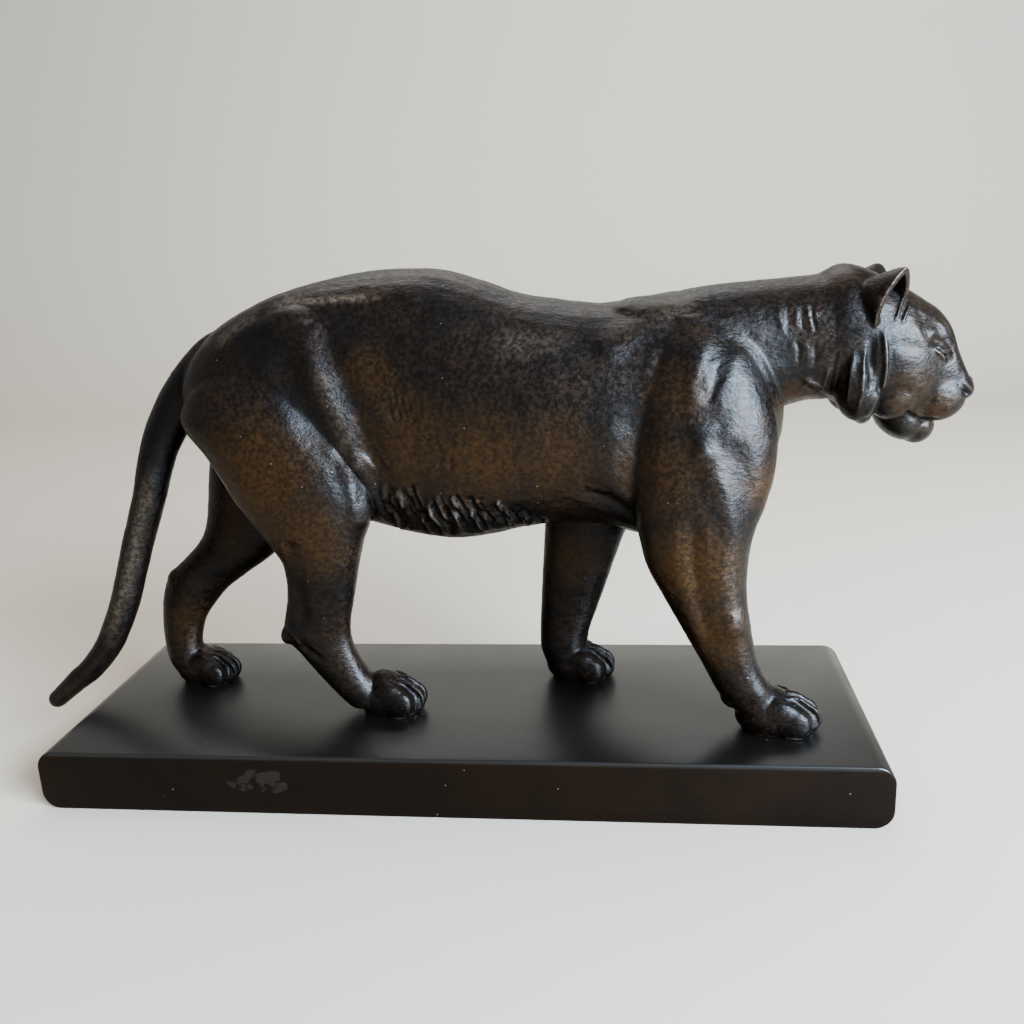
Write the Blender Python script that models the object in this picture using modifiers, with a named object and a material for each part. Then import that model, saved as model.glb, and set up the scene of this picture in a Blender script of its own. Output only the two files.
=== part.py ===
# Walking lioness: a patinated bronze figure standing on a flat rectangular plinth.
# The lioness faces +X with her middle plane at Y = 0. The origin is the centre of the
# plinth's underside and all sizes are in metres. Heights in the tables are above her soles.
# The figure is blocked out from lofts and ellipsoids, fused by a voxel remesh, smoothed,
# and then worked over with strokes that raise ridges and press furrows.

import math

import bmesh
import bpy
import numpy as np
from mathutils import Matrix, Vector

# Plinth: a slab whose two short ends are rounded and whose long edges are crisp
PLINTH_LENGTH = 0.270
PLINTH_DEPTH = 0.090
PLINTH_THICKNESS = 0.0205
PLINTH_END_RADIUS = 0.0060
PLINTH_EDGE_BEVEL = 0.0006

# Screws that hold the paws down from below
SCREW_DIAMETER = 0.003
SCREW_BITE = 0.0062
SCREW_HEAD_DIAMETER = 0.0055
SCREW_HEAD_HEIGHT = 0.0020
SCREW_SLOT_WIDTH = 0.0008
SCREW_SLOT_DEPTH = 0.0009
COUNTERBORE_DIAMETER = 0.0075
COUNTERBORE_DEPTH = 0.0080
CLEARANCE = 0.0003

# Surface of the figure
VOXEL = 0.0009
FIGURE_TRIANGLES = 10400
RING_SIDES = 28
BALL_SIDES = 20
LOFT_STEPS = 4
BACK_FULLNESS = 2.25
LEG_FULLNESS = 2.15
WIDEST_LEVEL = 0.47
RELAX_REACH = 0.0042
FINE_SHARE = 0.06

# Trunk from rump to breast: place along X, back, underside, half width
TRUNK = (
    (-0.0870, 0.1120, 0.1030, 0.0050),
    (-0.0830, 0.1200, 0.0930, 0.0130),
    (-0.0750, 0.1285, 0.0810, 0.0185),
    (-0.0650, 0.1345, 0.0720, 0.0212),
    (-0.0520, 0.1398, 0.0680, 0.0228),
    (-0.0380, 0.1432, 0.0670, 0.0230),
    (-0.0250, 0.1452, 0.0638, 0.0226),
    (-0.0120, 0.1459, 0.0602, 0.0232),
    (0.0010, 0.1450, 0.0584, 0.0245),
    (0.0130, 0.1414, 0.0598, 0.0256),
    (0.0250, 0.1369, 0.0625, 0.0264),
    (0.0375, 0.1346, 0.0638, 0.0268),
    (0.0500, 0.1330, 0.0630, 0.0268),
    (0.0620, 0.1342, 0.0595, 0.0260),
    (0.0740, 0.1356, 0.0580, 0.0252),
    (0.0860, 0.1345, 0.0600, 0.0240),
    (0.0950, 0.1310, 0.0680, 0.0212),
    (0.1010, 0.1240, 0.0780, 0.0165),
    (0.1050, 0.1140, 0.0910, 0.0085),
)

# Neck from between the shoulders to the back of the skull
NECK = (
    (0.0640, 0.1335, 0.0950, 0.0150),
    (0.0800, 0.1366, 0.0920, 0.0185),
    (0.0930, 0.1377, 0.0945, 0.0180),
    (0.1040, 0.1383, 0.0990, 0.0168),
    (0.1120, 0.1387, 0.1012, 0.0160),
    (0.1180, 0.1392, 0.1015, 0.0158),
)

# Head from the back of the skull to the tip of the nose
HEAD = (
    (0.1130, 0.1375, 0.1060, 0.0130),
    (0.1180, 0.1405, 0.1020, 0.0150),
    (0.1240, 0.1416, 0.0990, 0.0158),
    (0.1300, 0.1396, 0.0975, 0.0160),
    (0.1360, 0.1363, 0.0965, 0.0158),
    (0.1410, 0.1336, 0.0955, 0.0148),
    (0.1460, 0.1303, 0.0955, 0.0124),
    (0.1502, 0.1273, 0.0960, 0.0098),
    (0.1537, 0.1226, 0.0965, 0.0084),
    (0.1557, 0.1168, 0.0975, 0.0077),
    (0.1582, 0.1108, 0.0995, 0.0068),
    (0.1604, 0.1066, 0.1012, 0.0052),
    (0.1614, 0.1052, 0.1028, 0.0028),
)

# Legs from top to bottom: height, rear, front, middle in Y, half thickness
NEAR_HIND = (
    (0.1200, -0.0700, -0.0460, -0.0110, 0.0070),
    (0.1120, -0.0790, -0.0375, -0.0130, 0.0098),
    (0.1020, -0.0835, -0.0320, -0.0148, 0.0116),
    (0.0900, -0.0755, -0.0268, -0.0158, 0.0122),
    (0.0780, -0.0690, -0.0235, -0.0165, 0.0118),
    (0.0700, -0.0640, -0.0238, -0.0166, 0.0112),
    (0.0620, -0.0587, -0.0270, -0.0164, 0.0100),
    (0.0555, -0.0550, -0.0290, -0.0160, 0.0089),
    (0.0480, -0.0543, -0.0310, -0.0155, 0.0076),
    (0.0410, -0.0552, -0.0327, -0.0150, 0.0066),
    (0.0340, -0.0570, -0.0345, -0.0145, 0.0060),
    (0.0280, -0.0578, -0.0352, -0.0140, 0.0057),
    (0.0225, -0.0535, -0.0340, -0.0136, 0.0058),
    (0.0150, -0.0480, -0.0304, -0.0131, 0.0062),
    (0.0080, -0.0425, -0.0255, -0.0126, 0.0067),
    (0.0030, -0.0380, -0.0225, -0.0122, 0.0066),
)

FAR_HIND = (
    (0.1200, -0.0700, -0.0460, 0.0110, 0.0070),
    (0.1120, -0.0790, -0.0390, 0.0130, 0.0098),
    (0.1020, -0.0845, -0.0350, 0.0148, 0.0116),
    (0.0900, -0.0880, -0.0350, 0.0158, 0.0122),
    (0.0780, -0.0905, -0.0380, 0.0163, 0.0116),
    (0.0680, -0.0922, -0.0430, 0.0160, 0.0106),
    (0.0600, -0.0933, -0.0530, 0.0150, 0.0094),
    (0.0530, -0.0965, -0.0630, 0.0140, 0.0080),
    (0.0465, -0.1030, -0.0715, 0.0130, 0.0070),
    (0.0410, -0.1088, -0.0800, 0.0125, 0.0062),
    (0.0360, -0.1113, -0.0872, 0.0120, 0.0058),
    (0.0300, -0.1128, -0.0930, 0.0118, 0.0055),
    (0.0230, -0.1136, -0.0978, 0.0115, 0.0054),
    (0.0150, -0.1136, -0.1000, 0.0112, 0.0055),
    (0.0090, -0.1128, -0.0990, 0.0110, 0.0059),
    (0.0030, -0.1095, -0.0960, 0.0110, 0.0062),
)

NEAR_FORE = (
    (0.1290, 0.0680, 0.0840, -0.0100, 0.0060),
    (0.1190, 0.0620, 0.0940, -0.0135, 0.0100),
    (0.1080, 0.0570, 0.0990, -0.0155, 0.0120),
    (0.0960, 0.0548, 0.1020, -0.0168, 0.0128),
    (0.0840, 0.0562, 0.1015, -0.0182, 0.0126),
    (0.0730, 0.0590, 0.0985, -0.0198, 0.0118),
    (0.0640, 0.0608, 0.0952, -0.0210, 0.0107),
    (0.0550, 0.0630, 0.0936, -0.0216, 0.0096),
    (0.0440, 0.0685, 0.0935, -0.0218, 0.0084),
    (0.0300, 0.0760, 0.0955, -0.0217, 0.0073),
    (0.0200, 0.0812, 0.0980, -0.0215, 0.0068),
    (0.0130, 0.0840, 0.1010, -0.0214, 0.0070),
    (0.0070, 0.0885, 0.1050, -0.0213, 0.0076),
    (0.0025, 0.0920, 0.1080, -0.0213, 0.0078),
)

FAR_FORE = (
    (0.1290, 0.0660, 0.0840, 0.0100, 0.0060),
    (0.1190, 0.0590, 0.0940, 0.0135, 0.0100),
    (0.1080, 0.0530, 0.0985, 0.0155, 0.0120),
    (0.0950, 0.0460, 0.0980, 0.0170, 0.0126),
    (0.0830, 0.0390, 0.0900, 0.0188, 0.0120),
    (0.0730, 0.0330, 0.0770, 0.0190, 0.0110),
    (0.0640, 0.0292, 0.0655, 0.0188, 0.0100),
    (0.0560, 0.0284, 0.0575, 0.0186, 0.0091),
    (0.0460, 0.0275, 0.0532, 0.0183, 0.0081),
    (0.0360, 0.0267, 0.0497, 0.0178, 0.0073),
    (0.0260, 0.0260, 0.0460, 0.0174, 0.0067),
    (0.0175, 0.0255, 0.0430, 0.0171, 0.0065),
    (0.0110, 0.0256, 0.0420, 0.0170, 0.0068),
    (0.0050, 0.0275, 0.0415, 0.0170, 0.0070),
)

# Paws: heel, toe tips, middle in Y, half width, knuckle height
PAWS = {
    "fore_right": (0.0905, 0.1185, -0.0213, 0.0092, 0.0122),
    "fore_left": (0.0275, 0.0520, 0.0172, 0.0090, 0.0116),
    "hind_right": (-0.0350, -0.0112, -0.0118, 0.0085, 0.0122),
    "hind_left": (-0.1100, -0.0866, 0.0112, 0.0083, 0.0112),
}
SCREW_PLACE_IN_PAW = 0.45

# Tail: place along X, Y, height, radius
TAIL = (
    (-0.0620, 0.0000, 0.1240, 0.0080),
    (-0.0740, 0.0000, 0.1210, 0.0078),
    (-0.0840, 0.0000, 0.1135, 0.0072),
    (-0.0925, 0.0000, 0.1030, 0.0070),
    (-0.1000, -0.0005, 0.0900, 0.0062),
    (-0.1058, -0.0015, 0.0728, 0.0055),
    (-0.1125, -0.0025, 0.0550, 0.0052),
    (-0.1185, -0.0040, 0.0372, 0.0050),
    (-0.1235, -0.0050, 0.0262, 0.0048),
    (-0.1277, -0.0060, 0.0190, 0.0045),
    (-0.1334, -0.0070, 0.0124, 0.0042),
    (-0.1393, -0.0080, 0.0078, 0.0038),
    (-0.1475, -0.0090, 0.0010, 0.0031),
)

# The tail's end hangs past the plinth behind this place along X
TAIL_END_REACH = -0.1250

# Ears: middle of the opening, half sizes of the cup and how it is turned
EAR_PLACE = (0.1338, 0.0142, 0.1306)
EAR_HALF_SIZES = (0.0104, 0.0068, 0.0104)
EAR_POINT = 0.35
EAR_LEAN = 20.0
EAR_TURN = 28.0
EAR_WALL = 0.0020

# Masses laid on the lofts, mirrored left and right: centre, half sizes, tilt about Y
MIRRORED_MASSES = (
    # ruff of hair behind the cheek
    ((0.1252, 0.0100, 0.1092), (0.0070, 0.0080, 0.0136), -8.0),
    ((0.1272, 0.0078, 0.1002), (0.0036, 0.0058, 0.0056), -10.0),
    # cheekbone and jaw muscle
    ((0.1400, 0.0088, 0.1120), (0.0110, 0.0070, 0.0070), -10.0),
    ((0.1370, 0.0080, 0.1030), (0.0085, 0.0068, 0.0070), -30.0),
    # brow
    ((0.1478, 0.0062, 0.1222), (0.0052, 0.0034, 0.0030), 38.0),
    # eyeball
    ((0.1478, 0.0072, 0.1166), (0.0034, 0.0028, 0.0028), 0.0),
    # whisker pad
    ((0.1508, 0.0042, 0.1012), (0.0074, 0.0048, 0.0064), 10.0),
    # corner of the mouth
    ((0.1430, 0.0060, 0.0990), (0.0070, 0.0042, 0.0050), 20.0),
    # root of the ear
    ((0.1290, 0.0125, 0.1275), (0.0075, 0.0050, 0.0075), 10.0),
    # shoulder blade
    ((0.0735, 0.0080, 0.1250), (0.0220, 0.0082, 0.0080), 12.0),
    # point of the hip
    ((-0.0450, 0.0120, 0.1290), (0.0140, 0.0070, 0.0070), -10.0),
)

MIDDLE_MASSES = (
    # chin
    ((0.1455, 0.0, 0.0925), (0.0056, 0.0056, 0.0056), 0.0),
    # lower jaw
    ((0.1402, 0.0, 0.0950), (0.0086, 0.0076, 0.0060), 38.0),
    # nose pad
    ((0.1590, 0.0, 0.1047), (0.0024, 0.0036, 0.0030), 30.0),
    # back of the skull
    ((0.1225, 0.0, 0.1345), (0.0080, 0.0090, 0.0073), 0.0),
)

HOCKS = (
    ((-0.0555, -0.0140, 0.0290), (0.0032, 0.0044, 0.0042), 30.0),
    ((-0.1058, 0.0120, 0.0390), (0.0040, 0.0046, 0.0046), 30.0),
    ((0.0672, -0.0215, 0.0620), (0.0052, 0.0072, 0.0090), 0.0),
    ((0.0345, 0.0190, 0.0640), (0.0052, 0.0072, 0.0090), 0.0),
)

# Strokes seen from the side: which sides, reach, rise, then points as X and height
STROKES = (
    # front edge of the thigh, from the hip down to the stifle, and the hollow before it
    (
        "right",
        0.0065,
        0.0012,
        ((-0.0390, 0.1290), (-0.0352, 0.1150), (-0.0303, 0.1016), (-0.0262, 0.0880)),
    ),
    ("right", 0.0060, 0.0010, ((-0.0262, 0.0880), (-0.0244, 0.0790), (-0.0245, 0.0710))),
    (
        "right",
        0.0070,
        -0.0010,
        ((-0.0330, 0.1245), (-0.0260, 0.1100), (-0.0215, 0.0960), (-0.0185, 0.0820)),
    ),
    ("right", 0.0080, -0.0008, ((-0.0460, 0.1180), (-0.0410, 0.1080), (-0.0370, 0.1000))),
    ("left", 0.0065, 0.0012, ((-0.0410, 0.1290), (-0.0400, 0.1100), (-0.0390, 0.0940))),
    ("left", 0.0070, -0.0014, ((-0.0340, 0.1240), (-0.0325, 0.1080), (-0.0330, 0.0860))),
    # edge of the croup and of the shoulder blade, where the back turns to the side
    (
        "both",
        0.0060,
        0.0006,
        ((-0.0690, 0.1262), (-0.0535, 0.1350), (-0.0285, 0.1380), (-0.0067, 0.1384)),
    ),
    ("both", 0.0060, 0.0008, ((0.0530, 0.1218), (0.0619, 0.1274), (0.0721, 0.1325), (0.0800, 0.1325))),
    # seam between the shoulder's front and the upper arm
    (
        "both",
        0.0050,
        0.0010,
        ((0.0780, 0.1223), (0.0777, 0.1120), (0.0785, 0.1020), (0.0792, 0.0920)),
    ),
    ("both", 0.0045, -0.0010, ((0.0861, 0.1207), (0.0831, 0.1151), (0.0800, 0.1095), (0.0790, 0.1020))),
    (
        "right",
        0.0050,
        0.0011,
        ((0.0796, 0.0905), (0.0852, 0.0784), (0.0886, 0.0683), (0.0870, 0.0520), (0.0898, 0.0378)),
    ),
    ("right", 0.0060, 0.0008, ((0.0898, 0.0378), (0.0920, 0.0279), (0.0962, 0.0161))),
    ("right", 0.0055, -0.0010, ((0.0890, 0.0900), (0.0915, 0.0800), (0.0935, 0.0700))),
    # groove behind the upper arm and the fold of the armpit
    ("both", 0.0080, -0.0007, ((0.0610, 0.0990), (0.0600, 0.0900), (0.0595, 0.0820))),
    ("both", 0.0070, 0.0004, ((0.0520, 0.0960), (0.0525, 0.0880), (0.0530, 0.0800))),
    ("right", 0.0050, -0.0007, ((0.0464, 0.0790), (0.0520, 0.0755), (0.0570, 0.0715))),
    # forearm muscles
    ("right", 0.0050, -0.0006, ((0.0760, 0.0700), (0.0769, 0.0580), (0.0790, 0.0450), (0.0815, 0.0320))),
    ("left", 0.0040, -0.0006, ((0.0330, 0.0620), (0.0326, 0.0419), (0.0320, 0.0270))),
    # tendon of the hock
    ("right", 0.0036, -0.0012, ((-0.0480, 0.0620), (-0.0490, 0.0500), (-0.0488, 0.0370))),
    ("left", 0.0036, -0.0012, ((-0.0900, 0.0560), (-0.0985, 0.0460), (-0.1035, 0.0380))),
    # rim of the ruff, with the furrow behind it
    ("both", 0.0024, 0.0014, ((0.1309, 0.1220), (0.1320, 0.1150), (0.1322, 0.1090), (0.1306, 0.1050))),
    ("both", 0.0026, -0.0013, ((0.1277, 0.1205), (0.1278, 0.1130), (0.1282, 0.1060))),
    # locks of the ruff
    ("both", 0.0024, 0.0009, ((0.1252, 0.1182), (0.1249, 0.1090), (0.1240, 0.0990))),
    ("both", 0.0024, -0.0009, ((0.1222, 0.1182), (0.1216, 0.1090), (0.1215, 0.0990))),
    ("both", 0.0024, 0.0008, ((0.1190, 0.1184), (0.1186, 0.1100), (0.1186, 0.1040))),
    # corner of the eye, brow and cheek
    ("both", 0.0022, -0.0010, ((0.1453, 0.1203), (0.1490, 0.1200), (0.1512, 0.1165), (0.1522, 0.1135))),
    ("both", 0.0020, -0.0008, ((0.1455, 0.1170), (0.1480, 0.1135), (0.1515, 0.1125))),
    # line of the mouth
    ("both", 0.0020, -0.0014, ((0.1392, 0.0992), (0.1434, 0.0962), (0.1470, 0.0950), (0.1500, 0.0947))),
    # furrows of the toes
    ("right", 0.0018, -0.0010, ((0.1045, 0.0126), (0.1066, 0.0075), (0.1077, 0.0006))),
    ("right", 0.0018, -0.0010, ((-0.0240, 0.0098), (-0.0226, 0.0061), (-0.0210, 0.0006))),
)


# Small helpers


def clear_scene():
    for obj in list(bpy.data.objects):
        bpy.data.objects.remove(obj, do_unlink=True)


def new_collection(name):
    collection = bpy.data.collections.new(name)
    bpy.context.scene.collection.children.link(collection)
    return collection


def material(name, colour, roughness, metallic):
    made = bpy.data.materials.new(name)
    made.use_nodes = True
    shader = made.node_tree.nodes["Principled BSDF"]
    shader.inputs["Base Color"].default_value = (*colour, 1.0)
    shader.inputs["Roughness"].default_value = roughness
    shader.inputs["Metallic"].default_value = metallic
    made.diffuse_color = (*colour, 1.0)
    return made


def object_from_bmesh(name, bm, collection):
    mesh = bpy.data.meshes.new(name)
    bm.to_mesh(mesh)
    bm.free()
    obj = bpy.data.objects.new(name, mesh)
    collection.objects.link(obj)
    return obj


def make_helper(obj):
    """A cutter: it shapes others and is no part of the object."""
    obj.hide_render = True
    obj.display_type = "WIRE"
    return obj


def evaluated_mesh(obj):
    bpy.context.view_layer.update()
    graph = bpy.context.evaluated_depsgraph_get()
    return bpy.data.meshes.new_from_object(obj.evaluated_get(graph))


def cut(obj, cutter):
    modifier = obj.modifiers.new("cut " + cutter.name, "BOOLEAN")
    modifier.operation = "DIFFERENCE"
    modifier.object = cutter


def add_cylinder(bm, diameter, bottom, top, place, sides=24):
    bmesh.ops.create_cone(
        bm,
        cap_ends=True,
        segments=sides,
        radius1=diameter / 2,
        radius2=diameter / 2,
        depth=top - bottom,
        matrix=Matrix.Translation(place + Vector((0.0, 0.0, (bottom + top) / 2))),
    )


# Blocking out


def smooth_rows(rows, steps):
    """Rows of a section table with more rows put between them, on a Catmull-Rom curve."""
    rows = np.array(rows)
    ends = np.vstack([2 * rows[0] - rows[1], rows, 2 * rows[-1] - rows[-2]])
    made = []
    for k in range(len(rows) - 1):
        before, start, end, after = ends[k : k + 4]
        for i in range(steps):
            t = i / steps
            made.append(
                0.5
                * (
                    2 * start
                    + (end - before) * t
                    + (2 * before - 5 * start + 4 * end - after) * t**2
                    + (3 * start - before - 3 * end + after) * t**3
                )
            )
    return made + [rows[-1]]


def drawn_out(value, fullness):
    """A cosine or sine drawn out towards a squarer curve by a fullness above 2."""
    return math.copysign(abs(value) ** (2.0 / fullness), value)


def add_ring(bm, centre, side, ahead, behind, fullness):
    """A closed section: `side` is half its width, `ahead` and `behind` its two depths."""
    made = bmesh.ops.create_circle(bm, segments=RING_SIDES, radius=1.0)
    verts = made["verts"]
    for vert in verts:
        across = drawn_out(vert.co.x, fullness)
        along = drawn_out(vert.co.y, fullness)
        vert.co = centre + side * across + (ahead * along if along > 0 else -behind * along)
    edges = {edge for vert in verts for edge in vert.link_edges}
    return verts, list(edges)


def add_loft(bm, rings):
    for (_, first), (_, second) in zip(rings, rings[1:]):
        bmesh.ops.bridge_loops(bm, edges=first + second)
    for verts, _ in (rings[0], rings[-1]):
        bmesh.ops.contextual_create(bm, geom=verts)


def add_trunk(bm, table):
    """Upright sections across X: a loft for the trunk, the neck or the head."""
    rings = []
    for x, top, bottom, half_width in smooth_rows(table, LOFT_STEPS):
        level = bottom + (top - bottom) * WIDEST_LEVEL
        rings.append(
            add_ring(
                bm,
                Vector((x, 0.0, level)),
                Vector((0.0, half_width, 0.0)),
                Vector((0.0, 0.0, top - level)),
                Vector((0.0, 0.0, bottom - level)),
                BACK_FULLNESS,
            )
        )
    add_loft(bm, rings)


def add_leg(bm, table):
    """Level sections down a leg."""
    rings = []
    for height, rear, front, middle, half in smooth_rows(table, LOFT_STEPS):
        depth = Vector(((front - rear) / 2, 0.0, 0.0))
        centre = Vector(((rear + front) / 2, middle, height))
        rings.append(
            add_ring(bm, centre, Vector((0.0, half, 0.0)), depth, -depth, LEG_FULLNESS)
        )
    add_loft(bm, rings)


def add_tail(bm):
    rows = smooth_rows(TAIL, LOFT_STEPS)
    points = [Vector(row[:3]) for row in rows]
    rings = []
    for k, row in enumerate(rows):
        along = points[min(k + 1, len(rows) - 1)] - points[max(k - 1, 0)]
        ahead = along.cross(Vector((0.0, 1.0, 0.0))).normalized() * row[3]
        side = ahead.cross(along).normalized() * row[3]
        rings.append(add_ring(bm, points[k], side, ahead, -ahead, 2.0))
    add_loft(bm, rings)
    add_ball(bm, points[-1], Vector((1.0, 1.0, 1.0)) * TAIL[-1][3])


def add_ball(bm, centre, half_sizes, tilt=0.0, turn=0.0):
    place = (
        Matrix.Translation(centre)
        @ Matrix.Rotation(math.radians(turn), 4, "Z")
        @ Matrix.Rotation(math.radians(tilt), 4, "Y")
        @ Matrix.Diagonal((*half_sizes, 1.0))
    )
    bmesh.ops.create_uvsphere(
        bm, u_segments=BALL_SIDES, v_segments=BALL_SIDES // 2, radius=1.0, matrix=place
    )


def add_masses(bm):
    for (x, y, z), half_sizes, tilt in MIRRORED_MASSES:
        add_ball(bm, Vector((x, -y, z)), half_sizes, tilt)
        add_ball(bm, Vector((x, y, z)), half_sizes, tilt)
    for centre, half_sizes, tilt in MIDDLE_MASSES + HOCKS:
        add_ball(bm, Vector(centre), half_sizes, tilt)


def add_paw(bm, heel, toe, middle, half_width, height):
    """The pad behind, four toes in front and the knuckles over them."""
    length = toe - heel
    pad_centre = Vector((heel + 0.37 * length, middle, 0.40 * height))
    add_ball(bm, pad_centre, (0.38 * length, half_width * 0.90, height * 0.58))
    for across in (-1.5, -0.5, 0.5, 1.5):
        outer = abs(across) > 1
        half_length = length * (0.24 if outer else 0.27)
        reach = toe - half_length - (0.13 * length if outer else 0.0)
        add_ball(
            bm,
            Vector((reach, middle + across * half_width * 0.50, height * 0.42)),
            (half_length, half_width * 0.30, height * (0.44 if outer else 0.50)),
            tilt=16.0,
            turn=across * 6.0,
        )


def add_ear(bm, side):
    """Half an ellipsoid with a wall, open forwards and outwards."""
    cup = bmesh.new()
    bmesh.ops.create_uvsphere(cup, u_segments=24, v_segments=16, radius=1.0)
    open_side = [vert for vert in cup.verts if vert.co.x > 0.02]
    bmesh.ops.delete(cup, geom=open_side, context="VERTS")
    for vert in cup.verts:
        vert.co.y *= 1.0 - EAR_POINT * max(vert.co.z, 0.0) ** 2
        vert.co.x *= 1.0 - EAR_POINT * max(vert.co.z, 0.0) ** 2
    place = (
        Matrix.Translation((EAR_PLACE[0], side * EAR_PLACE[1], EAR_PLACE[2]))
        @ Matrix.Rotation(math.radians(side * EAR_TURN), 4, "Z")
        @ Matrix.Rotation(math.radians(EAR_LEAN), 4, "Y")
        @ Matrix.Diagonal((*EAR_HALF_SIZES, 1.0))
    )
    cup.transform(place)
    bmesh.ops.recalc_face_normals(cup, faces=cup.faces)
    bmesh.ops.solidify(cup, geom=list(cup.faces), thickness=EAR_WALL)
    mesh = bpy.data.meshes.new("ear cup")
    cup.to_mesh(mesh)
    cup.free()
    bm.from_mesh(mesh)
    bpy.data.meshes.remove(mesh)


def block_out(collection):
    """Every mass of the figure in one mesh, fused by a voxel remesh."""
    bm = bmesh.new()
    for table in (TRUNK, NECK, HEAD):
        add_trunk(bm, table)
    for table in (NEAR_HIND, FAR_HIND, NEAR_FORE, FAR_FORE):
        add_leg(bm, table)
    for sizes in PAWS.values():
        add_paw(bm, *sizes)
    add_tail(bm)
    add_masses(bm)
    for side in (-1, 1):
        add_ear(bm, side)
    bmesh.ops.recalc_face_normals(bm, faces=bm.faces)
    blockout = object_from_bmesh("blockout", bm, collection)
    remesh = blockout.modifiers.new("fuse", "REMESH")
    remesh.mode = "VOXEL"
    remesh.voxel_size = VOXEL
    mesh = evaluated_mesh(blockout)
    bpy.data.objects.remove(blockout)
    mesh.name = "lioness"
    return mesh


# Working over


def positions(mesh):
    flat = np.empty(len(mesh.vertices) * 3)
    mesh.vertices.foreach_get("co", flat)
    return flat.reshape(-1, 3)


def move_to(mesh, points):
    mesh.vertices.foreach_set("co", points.ravel())
    mesh.update()


def outward(mesh):
    flat = np.empty(len(mesh.vertices) * 3)
    mesh.vertex_normals.foreach_get("vector", flat)
    return flat.reshape(-1, 3)


def edge_ends(mesh):
    flat = np.empty(len(mesh.edges) * 2, dtype=int)
    mesh.edges.foreach_get("vertices", flat)
    return flat.reshape(-1, 2)


def relax(points, ends, share, rounds):
    """Move every point towards the mean of its neighbours and back a little, so that
    joins melt together and the figure doesn't shrink."""
    count = np.bincount(ends.ravel(), minlength=len(points))[:, None]
    for step in (0.52, -0.54) * rounds:
        total = np.stack(
            [
                np.bincount(ends[:, 0], points[ends[:, 1], k], len(points))
                + np.bincount(ends[:, 1], points[ends[:, 0], k], len(points))
                for k in range(3)
            ],
            axis=1,
        )
        points = points + step * share[:, None] * (total / count - points)
    return points


def softness(points):
    """How far each point is relaxed: little on the head and the paws."""
    behind_head = np.clip((0.118 - points[:, 0]) / 0.010, 0.0, 1.0)
    above_paws = np.clip((points[:, 2] - 0.012) / 0.008, 0.0, 1.0)
    on_tail = np.clip((-0.110 - points[:, 0]) / 0.010, 0.0, 1.0)
    return FINE_SHARE + (1.0 - FINE_SHARE) * behind_head * np.maximum(above_paws, on_tail)


def faces_side(points, normals, side):
    """How squarely each point faces the given side, from 0 to 1."""
    if side == "both":
        return np.clip(np.abs(normals[:, 1]) * 2.5, 0.0, 1.0) * (normals[:, 1] * points[:, 1] > 0)
    sign = -1.0 if side == "right" else 1.0
    return np.clip(sign * normals[:, 1] * 2.5, 0.0, 1.0) * (sign * points[:, 1] > 0.002)


def press_strokes(points, normals, strokes):
    """Raise or sink the surface along lines that are drawn on it from the side."""
    rise = np.zeros(len(points))
    flat = points[:, (0, 2)]
    for side, reach, height, line in strokes:
        line = np.array(line)
        low, high = line.min(axis=0) - reach, line.max(axis=0) + reach
        near = np.nonzero(((flat > low) & (flat < high)).all(axis=1))[0]
        nearest = np.full(len(near), np.inf)
        for start, end in zip(line, line[1:]):
            run = end - start
            part = np.clip((flat[near] - start) @ run / (run @ run), 0.0, 1.0)
            gap = np.linalg.norm(flat[near] - start - part[:, None] * run, axis=1)
            nearest = np.minimum(nearest, gap)
        profile = np.clip(1.0 - (nearest / reach) ** 2, 0.0, 1.0) ** 2
        rise[near] += height * profile * faces_side(points[near], normals[near], side)
    return points + normals * rise[:, None]


def work_over(mesh):
    points, ends = positions(mesh), edge_ends(mesh)
    rounds = round((RELAX_REACH / VOXEL) ** 2)
    points = relax(points, ends, softness(points), rounds)
    move_to(mesh, points)
    points = press_strokes(points, outward(mesh), STROKES)
    points = relax(points, ends, np.full(len(points), 0.5), 1)
    over_plinth = points[:, 0] > TAIL_END_REACH
    points[over_plinth, 2] = np.maximum(points[over_plinth, 2], 0.0)
    points[:, 2] += PLINTH_THICKNESS + CLEARANCE
    move_to(mesh, points)


def screw_place(heel, toe, middle):
    return Vector((heel + SCREW_PLACE_IN_PAW * (toe - heel), middle, 0.0))


def drill(name, diameter, bottom, top, cutters):
    """One cutter with an upright cylinder under every paw."""
    bm = bmesh.new()
    for sizes in PAWS.values():
        add_cylinder(bm, diameter, bottom, top, screw_place(*sizes[:3]))
    return make_helper(object_from_bmesh(name, bm, cutters))


def build_lioness(collection, cutters):
    mesh = block_out(collection)
    work_over(mesh)
    mesh.materials.append(material("patinated bronze", (0.045, 0.032, 0.022), 0.42, 0.6))
    lioness = bpy.data.objects.new("lioness", mesh)
    collection.objects.link(lioness)
    mesh.calc_loop_triangles()
    decimate = lioness.modifiers.new("fewer faces", "DECIMATE")
    decimate.ratio = FIGURE_TRIANGLES / len(mesh.loop_triangles)
    hole_top = PLINTH_THICKNESS + 2 * CLEARANCE + SCREW_BITE
    hole_diameter = SCREW_DIAMETER + 2 * CLEARANCE
    cut(lioness, drill("paw holes", hole_diameter, PLINTH_THICKNESS / 2, hole_top, cutters))


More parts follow.
